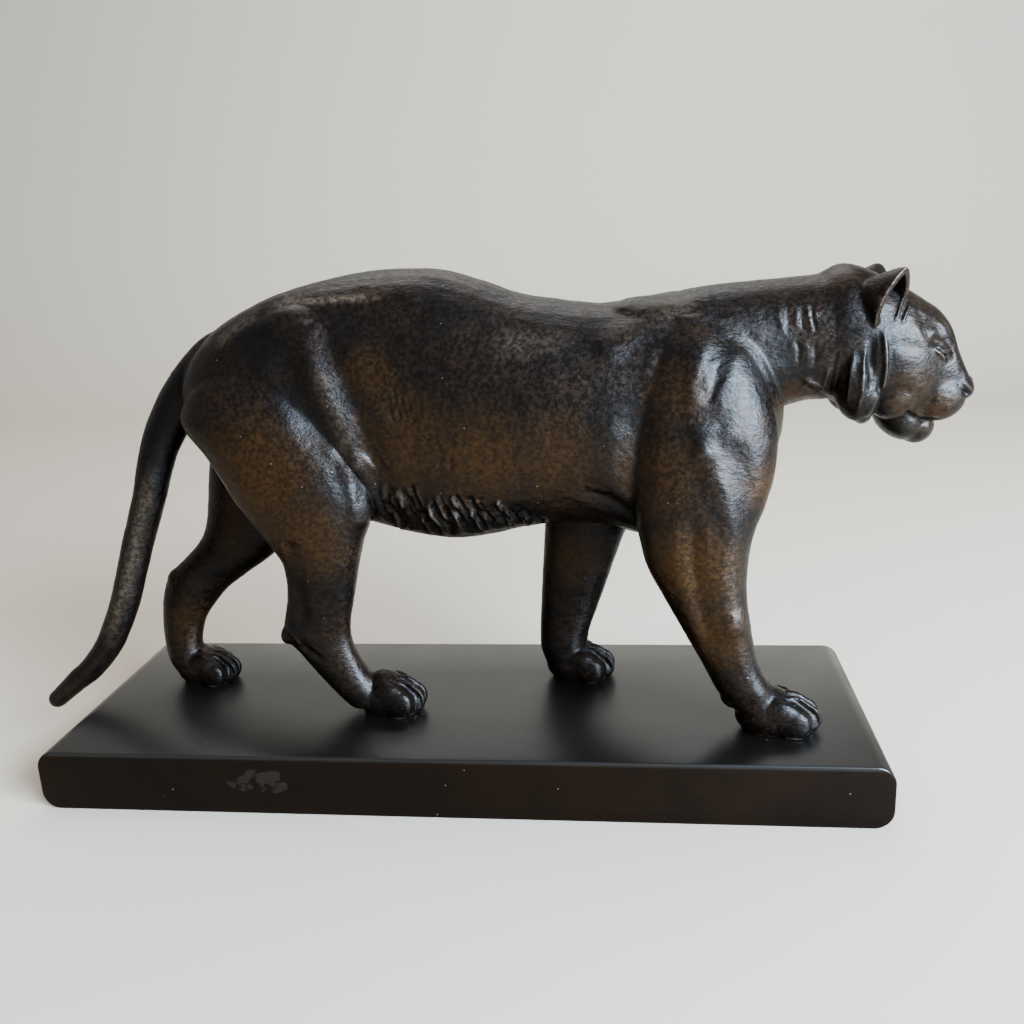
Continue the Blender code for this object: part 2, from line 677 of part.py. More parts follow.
def build_plinth(collection, cutters):
    """The slab's outline seen from the front, rounded at its ends and drawn out in depth."""
    half, radius = PLINTH_LENGTH / 2, PLINTH_END_RADIUS
    corners = (
        (half - radius, radius, 270.0),
        (half - radius, PLINTH_THICKNESS - radius, 0.0),
        (radius - half, PLINTH_THICKNESS - radius, 90.0),
        (radius - half, radius, 180.0),
    )
    bm = bmesh.new()
    outline = []
    for x, z, start in corners:
        for k in range(7):
            turn = math.radians(start + 15.0 * k)
            place = (x + radius * math.cos(turn), -PLINTH_DEPTH / 2, z + radius * math.sin(turn))
            outline.append(bm.verts.new(place))
    face = bm.faces.new(outline)
    grown = bmesh.ops.extrude_face_region(bm, geom=[face])
    moved = [item for item in grown["geom"] if isinstance(item, bmesh.types.BMVert)]
    bmesh.ops.translate(bm, verts=moved, vec=(0.0, PLINTH_DEPTH, 0.0))
    bmesh.ops.recalc_face_normals(bm, faces=bm.faces)
    crisp = [edge for edge in bm.edges if edge.calc_face_angle(0.0) > math.radians(60)]
    bmesh.ops.bevel(bm, geom=crisp, offset=PLINTH_EDGE_BEVEL, segments=1, affect="EDGES")
    plinth = object_from_bmesh("plinth", bm, collection)
    cut(
        plinth,
        drill("counterbores", COUNTERBORE_DIAMETER, -CLEARANCE, COUNTERBORE_DEPTH, cutters),
    )
    hole_diameter = SCREW_DIAMETER + 2 * CLEARANCE
    hole_top = PLINTH_THICKNESS * 1.5
    cut(plinth, drill("screw holes", hole_diameter, COUNTERBORE_DEPTH / 2, hole_top, cutters))
    plinth.data.materials.append(material("black plinth", (0.012, 0.011, 0.010), 0.5, 0.0))


def build_screw(name, place, collection, cutters, metal):
    """A slotted screw with its head down in the counterbore and its tip in the paw."""
    head_top = COUNTERBORE_DEPTH - CLEARANCE
    head_bottom = head_top - SCREW_HEAD_HEIGHT
    tip = PLINTH_THICKNESS + CLEARANCE + SCREW_BITE
    profile = (
        (0.0, head_bottom),
        (SCREW_HEAD_DIAMETER / 2, head_bottom),
        (SCREW_HEAD_DIAMETER / 2, head_top),
        (SCREW_DIAMETER / 2, head_top),
        (SCREW_DIAMETER / 2, tip - SCREW_DIAMETER / 4),
        (SCREW_DIAMETER / 4, tip),
        (0.0, tip),
    )
    bm = bmesh.new()
    verts = [bm.verts.new((x, 0.0, z)) for x, z in profile]
    edges = [bm.edges.new(pair) for pair in zip(verts, verts[1:])]
    bmesh.ops.spin(
        bm, geom=verts + edges, axis=(0, 0, 1), cent=(0, 0, 0), angle=math.tau, steps=24
    )
    bmesh.ops.remove_doubles(bm, verts=bm.verts, dist=CLEARANCE / 10)
    bmesh.ops.recalc_face_normals(bm, faces=bm.faces)
    screw = object_from_bmesh(name, bm, collection)
    screw.location = place
    bm = bmesh.new()
    bmesh.ops.create_cube(bm, size=1.0)
    slot_size = (SCREW_HEAD_DIAMETER * 1.2, SCREW_SLOT_WIDTH, SCREW_SLOT_DEPTH * 2)
    bmesh.ops.scale(bm, verts=bm.verts, vec=slot_size)
    slot = make_helper(object_from_bmesh(name + " slot", bm, cutters))
    slot.location = place + Vector((0.0, 0.0, head_bottom))
    cut(screw, slot)
    screw.data.materials.append(metal)


def main():
    clear_scene()
    parts = new_collection("lioness sculpture")
    cutters = new_collection("cutters")
    build_lioness(parts, cutters)
    build_plinth(parts, cutters)
    steel = material("screw steel", (0.42, 0.42, 0.43), 0.35, 1.0)
    for paw, sizes in PAWS.items():
        build_screw("paw_screw_" + paw, screw_place(*sizes[:3]), parts, cutters, steel)


main()
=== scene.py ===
# Walking lioness in patinated bronze on a black plinth: the fine surface, the plinth and
# the finishes, built around the part's CAD frame. The lioness faces +X and the origin is
# the centre of the plinth's underside. Single sizes are in metres, and tables in
# millimetres, with heights above her soles. Blender 4.5.

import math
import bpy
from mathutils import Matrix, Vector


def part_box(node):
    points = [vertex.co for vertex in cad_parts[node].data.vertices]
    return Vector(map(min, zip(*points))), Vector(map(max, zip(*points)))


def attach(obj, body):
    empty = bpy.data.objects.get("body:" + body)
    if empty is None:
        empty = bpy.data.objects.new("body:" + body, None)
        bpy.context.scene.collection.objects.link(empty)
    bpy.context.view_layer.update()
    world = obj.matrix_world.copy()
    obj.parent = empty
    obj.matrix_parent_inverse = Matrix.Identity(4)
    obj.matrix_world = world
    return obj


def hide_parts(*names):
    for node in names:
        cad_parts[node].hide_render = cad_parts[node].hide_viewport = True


bl_info = {
    "name": "Walking Lioness Bronze",
    "version": (1, 0, 0),
    "blender": (4, 5, 0),
    "location": "3D View > Sidebar > Lioness",
    "description": "Models a walking lioness bronze, its plinth and their finishes",
    "category": "Add Mesh",
}

import bmesh
import bpy
import numpy as np
from bpy.props import FloatProperty, FloatVectorProperty, IntProperty, PointerProperty
from mathutils import Matrix, Vector, noise

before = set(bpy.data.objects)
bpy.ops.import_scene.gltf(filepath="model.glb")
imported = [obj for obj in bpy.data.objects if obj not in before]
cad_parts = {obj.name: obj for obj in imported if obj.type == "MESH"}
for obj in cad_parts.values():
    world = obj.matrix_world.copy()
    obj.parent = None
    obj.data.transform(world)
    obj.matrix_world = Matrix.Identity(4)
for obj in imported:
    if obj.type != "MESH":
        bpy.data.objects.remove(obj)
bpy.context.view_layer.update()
PLINTH_LOW, PLINTH_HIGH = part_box("plinth")
SCREW_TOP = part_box("paw_screw_fore_right")[1].z
SOLES_GAP = 0.0003
SOLES = PLINTH_HIGH.z + SOLES_GAP

# Rings, balls and lofts that the figure is blocked out from. A fullness above 2 draws a
# section out towards a square
RING_SIDES = 40
BALL_SIDES = 28
LOFT_STEPS = 5
BACK_FULLNESS = 2.25
LEG_FULLNESS = 2.15
WIDEST_LEVEL = 0.47

# Working over: the two steps in and out smooth a surface without shrinking it, and the
# shares are how far fine places, the face and the paws are smoothed
STEADY_STEPS = (0.52, -0.54)
FORM_ROUNDS = 6
LAST_SHARE = 0.5
FINE_SHARE = 0.06
FACE_SHARE = 0.80
PAW_SHARE = 0.42
# Where these shares hold: where each starts and over what run it blends in, along X or up
BEHIND_HEAD = (0.125, -0.010)
ABOVE_PAWS = (0.0095, 0.006)
ON_TAIL = (-0.110, -0.010)
ON_FACE = (0.134, 0.006)
ON_PAWS = (0.020, -0.004)
EAR_LOW, EAR_INNER, EAR_AHEAD = 0.124, 0.0085, 0.142
TOE_FURROW_REACH = 0.0011
TOE_FURROW_DEPTH = 0.0012
SOLE_RIM = 0.0007
# Unevenness left by hand: waves and dimples per metre, and how high they stand
WAVES, WAVE_HEIGHT = 210.0, 0.00013
DIMPLES, DIMPLE_HEIGHT = (520.0, 700.0, 700.0), 0.00006
CALM_HEAD = (0.150, -0.020)
LEAST_UNEVEN = 0.2
# Wear and painted light: smoothing rounds that tell ridges and hollows apart, the broad ones
# finding the recesses that are darkened as painted shade, and how calm the paws stay
RELIEF_ROUNDS = 8
BROAD_SHADE_ROUNDS = 90
PAW_CALM = 0.5
CALM_PAWS = (0.018, -0.006)

# Holes for the screws: the shaft's in paw and plinth, and the counterbore for its head
SHAFT_HOLE = 0.0036
SHAFT_HOLE_BOTTOM = 0.0040
HEAD_HOLE = 0.0075
HEAD_HOLE_TOP = 0.0080

# Plinth: steps round its ends, the angle from which an edge is bevelled, and the angle
# from which it is shaded sharp
CORNER_STEPS = 18
CRISP_ANGLE = 60.0
SHARP_ANGLE = 40.0


def in_metres(sizes):
    """The tables are in millimetres."""
    return tuple(size / 1000 for size in sizes)


# Trunk from rump to breast: place along X, back, underside, half width
TRUNK = (
    (-87, 112, 103, 5),
    (-83, 120, 93, 13),
    (-75, 128.5, 81, 18.5),
    (-65, 134.5, 72, 21.2),
    (-52, 139.8, 68, 22.8),
    (-38, 143.2, 67, 23),
    (-25, 145.2, 63.8, 22.6),
    (-12, 145.9, 60.2, 23.2),
    (1, 145, 58.4, 24.5),
    (13, 141.4, 59.8, 25.6),
    (25, 136.9, 62.5, 26.4),
    (37.5, 134.6, 63.8, 26.8),
    (50, 133, 63, 26.8),
    (62, 134.2, 59.5, 26),
    (74, 135.6, 58, 25.2),
    (86, 134.5, 60, 24),
    (95, 131, 68, 21.2),
    (101, 124, 78, 16.5),
    (105, 114, 91, 8.5),
)

# Neck from between the shoulders to the back of the skull
NECK = (
    (64, 133.5, 95, 15),
    (80, 136.6, 92, 18.5),
    (93, 137.7, 94.5, 17.2),
    (104, 138.3, 99, 15.8),
    (112, 138.7, 101.2, 15.7),
    (118, 139.2, 101.5, 15.9),
    (125, 138, 103, 15.6),
)

# Head from the back of the skull to the tip of the nose
HEAD = (
    (113, 137.5, 106, 13),
    (118, 140.5, 102, 15.7),
    (124, 141.6, 99, 16.5),
    (130, 139.6, 97.5, 16.3),
    (136, 136.3, 96.5, 15.8),
    (141, 133.6, 95.5, 14.8),
    (146, 130.3, 95.5, 12.4),
    (150.2, 127.3, 96, 9.8),
    (153.7, 122.6, 96.5, 8.4),
    (155.7, 116.8, 97.5, 7.7),
    (158.2, 110.8, 99.5, 6.8),
    (160.4, 106.6, 101.2, 5.2),
    (161.4, 105.2, 102.8, 2.8),
)

# Legs from top to bottom: height, rear, front, middle in Y, half thickness
NEAR_HIND = (
    (120, -70, -46, -11, 7),
    (112, -79, -37.5, -13, 9.8),
    (102, -83.5, -32, -14.8, 11.6),
    (90, -75.5, -26.8, -15.8, 12.2),
    (78, -69, -23.5, -16.5, 11.8),
    (70, -64, -23.8, -16.6, 11.2),
    (62, -58.7, -27, -16.4, 10),
    (55.5, -55, -29, -16, 8.9),
    (48, -54.3, -31, -15.5, 7.6),
    (41, -55.2, -32.7, -15, 6.6),
    (34, -57, -34.5, -14.5, 6),
    (28, -57.8, -35.2, -14, 5.7),
    (22.5, -53.5, -34, -13.6, 5.8),
    (15, -48, -30.4, -13.1, 6.2),
    (8, -42.5, -25.5, -12.6, 6.7),
    (3, -38, -22.5, -12.2, 6.6),
)

FAR_HIND = (
    (120, -70, -46, 11, 7),
    (112, -79, -39, 13, 9.8),
    (102, -84.5, -35, 14.8, 11.6),
    (90, -88, -35, 15.8, 12.2),
    (78, -90.5, -38, 16.3, 11.6),
    (68, -92.2, -43, 16, 10.6),
    (60, -93.3, -53, 15, 9.4),
    (53, -96.5, -63, 14, 8),
    (46.5, -103, -71.5, 13, 7),
    (41, -108.8, -80, 12.5, 6.2),
    (36, -111.3, -87.2, 12, 5.8),
    (30, -112.8, -93, 11.8, 5.5),
    (23, -113.6, -97.8, 11.5, 5.4),
    (15, -113.6, -100, 11.2, 5.5),
    (9, -112.8, -99, 11, 5.9),
    (3, -109.5, -96, 11, 6.2),
)

NEAR_FORE = (
    (129, 68, 84, -10, 6),
    (119, 62, 94, -13.5, 10),
    (108, 57, 99, -15.5, 12),
    (96, 54.8, 102, -16.8, 12.8),
    (84, 56.2, 101.5, -18.2, 12.6),
    (73, 59, 98.5, -19.8, 11.8),
    (64, 60.8, 95.2, -21, 10.7),
    (55, 63, 93.6, -21.6, 9.6),
    (44, 68.5, 93.5, -21.8, 8.4),
    (30, 76, 95.5, -21.7, 7.3),
    (20, 81.2, 98, -21.5, 6.8),
    (13, 84.6, 103.4, -21.4, 7),
    (7, 89.8, 108, -21.3, 7.4),
    (2.5, 92.2, 108.5, -21.3, 7.6),
)

FAR_FORE = (
    (129, 66, 84, 10, 6),
    (119, 59, 94, 13.5, 10),
    (108, 53, 98.5, 15.5, 12),
    (95, 46, 98, 17, 12.6),
    (83, 39, 90, 18.8, 12),
    (73, 33, 77, 19, 11),
    (64, 29.2, 65.5, 18.8, 10),
    (56, 28.4, 57.5, 18.6, 9.1),
    (46, 27.5, 53.2, 18.3, 8.1),
    (36, 26.7, 49.7, 17.8, 7.3),
    (26, 26, 46, 17.4, 6.7),
    (17.5, 25.5, 43, 17.1, 6.5),
    (11, 25.6, 42, 17, 6.8),
    (5, 27.5, 41.5, 17, 7),
)

# Paws: heel, toe tips, middle in Y, half width, knuckle height
PAWS = {
    "fore_right": (90.5, 117.2, -21.3, 9.2, 12.2),
    "fore_left": (27.5, 52, 17.2, 9, 11.6),
    "hind_right": (-35, -11.2, -11.8, 8.5, 12.2),
    "hind_left": (-110, -86.6, 11.2, 8.3, 11.2),
}
PAWS = {paw: in_metres(sizes) for paw, sizes in PAWS.items()}
SCREW_PLACE_IN_PAW = 0.45

# Balls that a paw is built from, as shares of its length, half width and height: place
# along it, height, half sizes, tilt about Y. They are the pad, the front and the instep
PAW_BALLS = (
    (0.40, 0.40, (0.41, 0.92, 0.60), 0.0),
    (0.60, 0.36, (0.32, 0.98, 0.56), 14.0),
    (0.44, 0.74, (0.27, 0.72, 0.38), 34.0),
)
# Knuckle and tip of each toe: place behind the toe's end, step to the side, height, half
# sizes, tilt about Y, turn about Z
TOE_BALLS = (
    (0.35, 0.43, 0.50, (0.27, 0.30, 0.46), 22.0, 4.0),
    (0.23, 0.46, 0.36, (0.22, 0.30, 0.43), 14.0, 5.0),
)
TOES_ACROSS = (-1.5, -0.5, 0.5, 1.5)
OUTER_TOE_SET_BACK = 0.15

# Tail: place along X, Y, height, radius
TAIL = (
    (-62, 0, 124, 8),
    (-74, 0, 121, 7.8),
    (-84, 0, 113.5, 7.2),
    (-92.5, 0, 103, 7),
    (-100, -0.5, 90, 6.2),
    (-105.8, -1.5, 72.8, 5.5),
    (-112.5, -2.5, 55, 5.2),
    (-118.5, -4, 37.2, 5),
    (-123.5, -5, 26.2, 4.8),
    (-127.7, -6, 19, 4.5),
    (-133.4, -7, 12.4, 4.2),
    (-139.3, -8, 7.8, 3.8),
    (-147.5, -9, 1, 3.1),
)
TAIL_END_REACH = -0.1250

# Ears, in metres and degrees: middle of the opening, half sizes of the cup, how it tapers
# and how it is turned
EAR_PLACE = (0.1338, 0.0142, 0.1306)
EAR_HALF_SIZES = (0.0134, 0.0068, 0.0106)
EAR_POINT = 0.35
EAR_SLOPE = 0.6
EAR_LEAN = 20.0
EAR_TURN = 44.0
EAR_WALL = 0.0020
EAR_OPENING = 0.02

# Masses laid on the lofts, mirrored left and right: centre, half sizes, tilt about Y
MIRRORED_MASSES = (
    # ruff of hair behind the cheek
    ((125, 9.2, 109.2), (7.4, 8.6, 13.6), -8),
    ((127.2, 7.8, 100.2), (3.6, 5.8, 5.6), -10),
    # cheekbone and jaw muscle
    ((138.5, 7.4, 113), (11, 6.6, 8), -6),
    ((136.8, 7.4, 104), (8.6, 6.8, 8), -30),
    # brow
    ((147.8, 6.2, 122.2), (5.2, 3.4, 3), 38),
    # eyeball
    ((147.8, 7.2, 116.6), (3.4, 2.8, 2.8), 0),
    # whisker pad
    ((149.2, 4.6, 102.4), (9.4, 5.6, 8), 8),
    # corner of the mouth
    ((142, 5.6, 99.2), (6, 4, 4.8), 20),
    # root of the ear
    ((124, 10.4, 126.2), (7, 5.2, 8), 10),
    # shoulder blade
    ((73.5, 8, 125), (22, 8.2, 8), 12),
    # point of the hip
    ((-45, 12, 129), (14, 7, 7), -10),
)

MIDDLE_MASSES = (
    # chin
    ((145.5, 0, 92.5), (5.6, 6.2, 5.6), 0),
    # lower jaw
    ((140.2, 0, 95), (8.6, 8.6, 6), 38),
    # nose pad
    ((159, 0, 104.7), (2.4, 3.6, 3), 30),
    # back of the skull
    ((122.5, 0, 134.5), (8, 9, 7.3), 0),
)

# Hocks, elbows and the pad behind the near wrist
HOCKS = (
    ((-55.5, -14, 29), (3.2, 4.4, 4.2), 30),
    ((-105.8, 12, 39), (4, 4.6, 4.6), 30),
    ((67.2, -21.5, 62), (5.2, 7.2, 9), 0),
    ((34.5, 19, 64), (5.2, 7.2, 9), 0),
    ((89.2, -21.3, 10.4), (4, 5.2, 2.8), 30),
)

# Broad strokes drawn from the side: which sides, reach, rise, then points as X and height
FORM_STROKES = (
    # front edge of the thigh, from the hip down to the stifle, and the hollow before it
    ("right", 7.5, 1, ((-39, 129), (-35.2, 115), (-30.3, 101.6), (-26.2, 88))),
    ("right", 6, 1, ((-26.2, 88), (-24.4, 79), (-24.5, 71))),
    ("right", 7, -1, ((-33, 124.5), (-26, 110), (-21.5, 96), (-18.5, 82))),
    ("right", 8, -0.8, ((-46, 118), (-41, 108), (-37, 100))),
    ("left", 6.5, 1.2, ((-41, 129), (-40, 110), (-39, 94))),
    ("left", 7, -1.4, ((-34, 124), (-32.5, 108), (-33, 86))),
    # edge of the croup and of the shoulder blade, where the back turns to the side
    ("both", 6, 0.6, ((-69, 126.2), (-53.5, 135), (-28.5, 138), (-6.7, 138.4))),
    ("both", 6, 0.8, ((53, 121.8), (61.9, 127.4), (72.1, 132.5), (80, 132.5))),
    # seam between the shoulder's front and the upper arm
    ("both", 5.5, 0.6, ((78, 122.3), (77.7, 112), (78.5, 102), (79.2, 92))),
    ("both", 5, -0.6, ((86.1, 120.7), (83.1, 115.1), (80, 109.5), (79, 102))),
    ("right", 6, 0.6, ((79.6, 90.5), (85.2, 78.4), (88.6, 68.3), (87, 52), (89.8, 37.8))),
    ("right", 6, 0.8, ((89.8, 37.8), (92, 27.9), (96.2, 16.1))),
    ("right", 6, -0.6, ((89, 90), (91.5, 80), (93.5, 70))),
    # groove behind the upper arm and the fold of the armpit
    ("both", 8, -0.7, ((61, 99), (60, 90), (59.5, 82))),
    ("both", 7, 0.3, ((52, 96), (52.5, 88), (53, 80))),
    ("right", 5, -0.7, ((46.4, 79), (52, 75.5), (57, 71.5))),
    # forearm muscles
    ("right", 5, -0.6, ((76, 70), (76.9, 58), (79, 45), (81.5, 32))),
    ("left", 4, -0.6, ((33, 62), (32.6, 41.9), (32, 27))),
    # tendon of the hock
    ("right", 4.2, -1, ((-48, 62), (-49, 50), (-48.8, 37))),
    ("left", 4.2, -1, ((-90, 56), (-98.5, 46), (-103.5, 38))),
)

# Finer strokes of the same kind, tapered at their ends
FINE_STROKES = (
    # rim of the ruff, with the furrow behind it
    ("both", 1.1, 1, (
        (130.9, 123.4), (131.8, 118), (132.3, 112.3), (132.1, 107.1), (130.4, 104),
    )),
    ("both", 1.8, -0.8, ((127.9, 122), (127.8, 115.3), (128.3, 109.5), (128, 104.6))),
    ("both", 1.6, 0.7, ((130.9, 105.6), (129.4, 101.7), (128.2, 97.4))),
    # locks of the ruff
    ("both", 0.6, 0.42, ((126.2, 118.6), (125.6, 112), (125.7, 106.1), (124.9, 98.8))),
    ("both", 1.2, -0.18, ((124.6, 118), (124, 111), (124, 104), (123.6, 98.6))),
    ("both", 0.6, 0.42, ((123.2, 118.6), (122.3, 112), (122, 106.2), (122, 99.8))),
    ("both", 1.2, -0.18, ((121.4, 117.6), (120.6, 111), (120.4, 104.6), (120.2, 100.8))),
    ("both", 0.6, 0.36, ((119.4, 118.6), (118.7, 112.6), (118.3, 106.4), (118.6, 102.4))),
    ("both", 1.2, -0.18, ((117.9, 116), (117.2, 110), (116.8, 105.4))),
    ("both", 0.9, 0.4, ((116.4, 113.6), (115.9, 109), (115.4, 105.6))),
    # tufts inside the ear
    ("both", 0.6, 0.6, ((134.4, 125), (135.8, 129), (137.6, 132.6))),
    ("both", 0.6, 0.6, ((136.2, 124.6), (137.6, 127.4), (139.4, 130.2))),
    # short locks of the neck
    ("both", 0.6, 0.12, ((102.6, 133), (101.8, 129), (102.8, 124.7), (104.9, 120.9))),
    ("both", 0.8, -0.2, ((104.7, 132.4), (104.2, 128), (105, 124.4))),
    ("both", 0.55, 0.20, ((106.8, 131), (106.6, 128), (107, 124.2))),
    ("both", 0.8, -0.25, ((108.5, 130.4), (108.3, 127.6), (108.9, 123.6))),
    ("both", 0.55, 0.22, ((109.6, 133.2), (110.3, 127.3), (111.5, 122.6))),
    ("both", 0.8, -0.22, ((111.3, 131.6), (111.4, 127.6), (112.6, 123.6))),
    ("both", 0.55, 0.18, ((112.4, 129.4), (112.2, 127.8), (112.3, 125.2))),
    ("both", 1, -0.35, ((106.9, 121.4), (107.8, 118), (107.4, 114.8))),
    ("both", 0.55, 0.18, ((109.6, 120.4), (110.2, 117), (110, 114.2))),
    ("both", 1, -0.35, ((112.1, 119.6), (112.4, 116), (112, 113.2))),
    # throat
    ("both", 1.2, 0.6, ((108.8, 110), (113.9, 107.1), (118.8, 103.6))),
    ("both", 1.1, -0.6, ((110, 107.6), (114.6, 104.8), (118.2, 102.2))),
    # socket of the eye, eyeball and lids
    ("both", 2, -1.5, ((145.4, 120), (148.3, 117.8), (150.8, 115.4), (152.6, 112.6))),
    ("both", 1.5, 1.1, ((147.9, 117), (149.6, 115.4), (150.6, 114.4))),
    ("both", 0.75, 0.6, ((145.6, 119.6), (148.2, 118.6), (150.6, 116.6), (152.2, 113.8))),
    ("both", 0.75, 0.55, ((145.9, 118.6), (147.6, 115.8), (149.6, 113.9), (152, 112.9))),
    ("both", 0.7, -0.8, ((146.6, 118), (148.9, 116.2), (151.4, 113.6))),
    # brow and forehead
    ("both", 2, 0.4, ((143.9, 121.8), (147.4, 121.6), (150.6, 119.8), (152.4, 116.6))),
    ("both", 2.4, -0.25, ((140.6, 127.4), (143.8, 124.6), (147, 124.2))),
    ("both", 2, 0.2, ((138.4, 124.6), (141.4, 122.4), (143, 119.4), (142.6, 116.6))),
    # cheek
    ("both", 2.4, -0.3, ((135.2, 119.8), (139.4, 118.2), (143.4, 117.4))),
    ("both", 3, 0.1, ((133.6, 114.6), (138.2, 115.2), (143, 114.6), (147.2, 111.6))),
    ("both", 2.4, -0.35, ((144, 109.6), (146.4, 106.2), (147, 102.8), (145.4, 99.4))),
    # whisker pad and its rows
    ("both", 0.8, -0.1, ((148.6, 104.4), (151.6, 103.6), (154.2, 102.2))),
    ("both", 0.8, -0.1, ((148.2, 102.2), (151.2, 101.2), (154, 99.8))),
    # nose wing and nostril
    ("both", 1.2, 0.4, ((156, 106.6), (158, 105.2), (159.6, 103.6))),
    ("both", 1, -1, ((156.6, 103.9), (157.8, 103.2), (158.8, 102.6))),
    # line of the mouth, lower lip and chin
    ("both", 1.3, -0.75, (
        (138.8, 99.8), (140.4, 97.9), (143.4, 96), (146.4, 95), (151.4, 95.6),
    )),
    ("both", 1.3, 0.2, ((141.6, 95.6), (145.8, 93.6), (149.4, 93.3))),
    # skin folds on the flank, on the shoulder and before the thigh
    ("both", 2.2, -0.5, ((46.4, 80), (50.8, 76.8), (55.3, 74.3), (60.6, 67.9))),
    ("both", 1.4, 0.4, ((44.8, 81.4), (48.2, 79.4), (51.8, 78))),
    ("right", 2.2, 0.2, ((-28.8, 83), (-27.2, 77.4), (-27.8, 71.6))),
    ("right", 1.8, -0.3, ((-26.6, 86.4), (-24.8, 80.6), (-25, 74.6))),
    ("both", 2, 0.25, ((84, 119), (81.6, 114.6), (80, 109))),
    ("both", 1.8, -0.25, ((85.6, 113.6), (82.6, 109.6), (80.6, 104.6))),
    ("both", 2.4, 0.2, ((66.6, 121.6), (64, 114.6), (63.8, 106.6))),
    # tendons and veins of the legs
    ("right", 1.6, 0.2, ((-46.8, 56.4), (-48.9, 45.9), (-50.5, 36.9))),
    ("right", 2.4, 0.35, ((-31.2, 67.4), (-31.2, 57.4), (-35.1, 43.9), (-37.1, 29.9))),
    ("right", 2.4, 0.2, ((-37.3, 28.9), (-34, 19.3), (-30.8, 10.9))),
    ("right", 2, -0.8, ((-51.4, 27.6), (-48, 24), (-44, 21))),
    ("right", 1.1, 0.4, ((-55.2, 31.6), (-52.4, 28.4), (-50, 25.4))),
    ("right", 2.6, -0.25, ((76, 70.6), (76.9, 58), (79, 45.1), (81.5, 32))),
    ("right", 3, 0.25, ((70, 66), (71.4, 56), (75, 44), (80, 31))),
    ("right", 2.4, 0.25, ((84.4, 30.6), (87.6, 22.6), (92, 15))),
    ("left", 1.6, 0.3, ((-101, 46), (-103.4, 35.7), (-106, 25))),
    ("left", 1.8, -0.3, ((30.8, 58), (30.6, 44), (30, 29))),
    # marks of the comb on the flank
    ("both", 0.9, -0.22, ((-14.6, 112), (-13.6, 105), (-11.8, 99))),
    ("both", 0.9, -0.22, ((-12.4, 113), (-11.4, 106), (-9.8, 101))),
    ("both", 0.9, -0.20, ((-10, 111), (-9.2, 105), (-7.8, 100))),
    ("both", 0.9, -0.20, ((-7.8, 109), (-7.2, 104), (-6, 99.6))),
    ("both", 1, -0.25, ((2, 92), (1, 88.4), (0.6, 84.6))),
    ("both", 1, -0.25, ((5, 91.6), (4.2, 88), (3.6, 84.8))),
    ("both", 1.2, 0.25, ((-21, 98), (-18, 91), (-14.6, 86))),
    ("both", 1.1, 0.25, ((-24, 92), (-21, 86.6), (-19, 82))),
)

# Hair of the belly's fringe: its upper and lower edge as X and height, and how its locks
# vary in reach, rise and length
FRINGE_TOP = (
    (-21.8, 83.7), (-20, 83.4), (-12.4, 81.8), (-3, 80), (6.2, 77.6), (15.5, 76.5),
    (26, 73.4),
)
FRINGE_BOTTOM = (
    (-21.8, 65), (-16.6, 62.6), (-6.7, 61.1), (3.2, 61.4), (13.2, 63.3), (23, 65.2),
    (32, 66.4),
)
FRINGE_LOCKS = 64
FRINGE_SWEEP = 5.5
FRINGE_SEED = 11
LOCK_REACH = (1.0, 1.9)
LOCK_RISE = (0.5, 1.1)
LOCK_SHARE = (0.35, 0.75)
LOCK_CURL = 1.4

# Where a warm golden-brown reflection from below is painted into the patina, on the lower flanks,
# legs and face: X, height, radius, strength from 0 to 1
REFLECTED_WARMTH_PLACES = (
    (-58, 84, 24, 0.9),
    (-45, 66, 18, 0.8),
    (-20, 116, 10, 0.6),
    (-8, 94, 20, 0.6),
    (14, 90, 20, 0.7),
    (36, 88, 18, 0.6),
    (72, 108, 12, 0.5),
    (66, 84, 16, 0.6),
    (76, 56, 18, 1),
    (82, 34, 14, 0.9),
    (99, 80, 9, 0.8),
    (140, 104, 9, 0.45),
    (148, 98, 7, 0.6),
    (108, 103, 8, 0.7),
    (-100, 24, 12, 0.6),
    (-80, 62, 14, 0.5),
    (38, 46, 12, 0.7),
)

# Where it is painted pale tan: along the back's top edges as wear with a painted sheen, and along
# the tail, the front edge of the thigh and the near foreleg's front as a painted highlight.
# Sides, reach, strength from 0 to 1, line
BARE_AND_HIGHLIGHT_LINES = (
    # back's top edges: wear with a painted sheen
    ("both", 3, 0.5, ((-71, 125), (-61, 131.7), (-53.5, 135))),
    ("both", 1.8, 0.8, ((-53.5, 135), (-45.8, 137.4), (-28.5, 138), (-14, 138.2))),
    ("both", 6, 0.25, ((18, 124), (30, 123.4), (44, 124.4))),
    ("both", 5, 0.25, ((50, 123.8), (62, 128.6), (72, 132), (82, 132))),
    # painted highlight along the front edge of the thigh
    ("right", 4, 0.2, ((-37, 120), (-31, 104), (-26.4, 88))),
    # painted highlight down the tail
    ("both", 3.4, 0.50, ((-100, 88), (-108, 66), (-116.5, 42), (-126, 21))),
    # painted highlight down the near foreleg's front
    ("right", 4, 0.2, ((88, 66), (88.4, 50), (91, 34))),
)

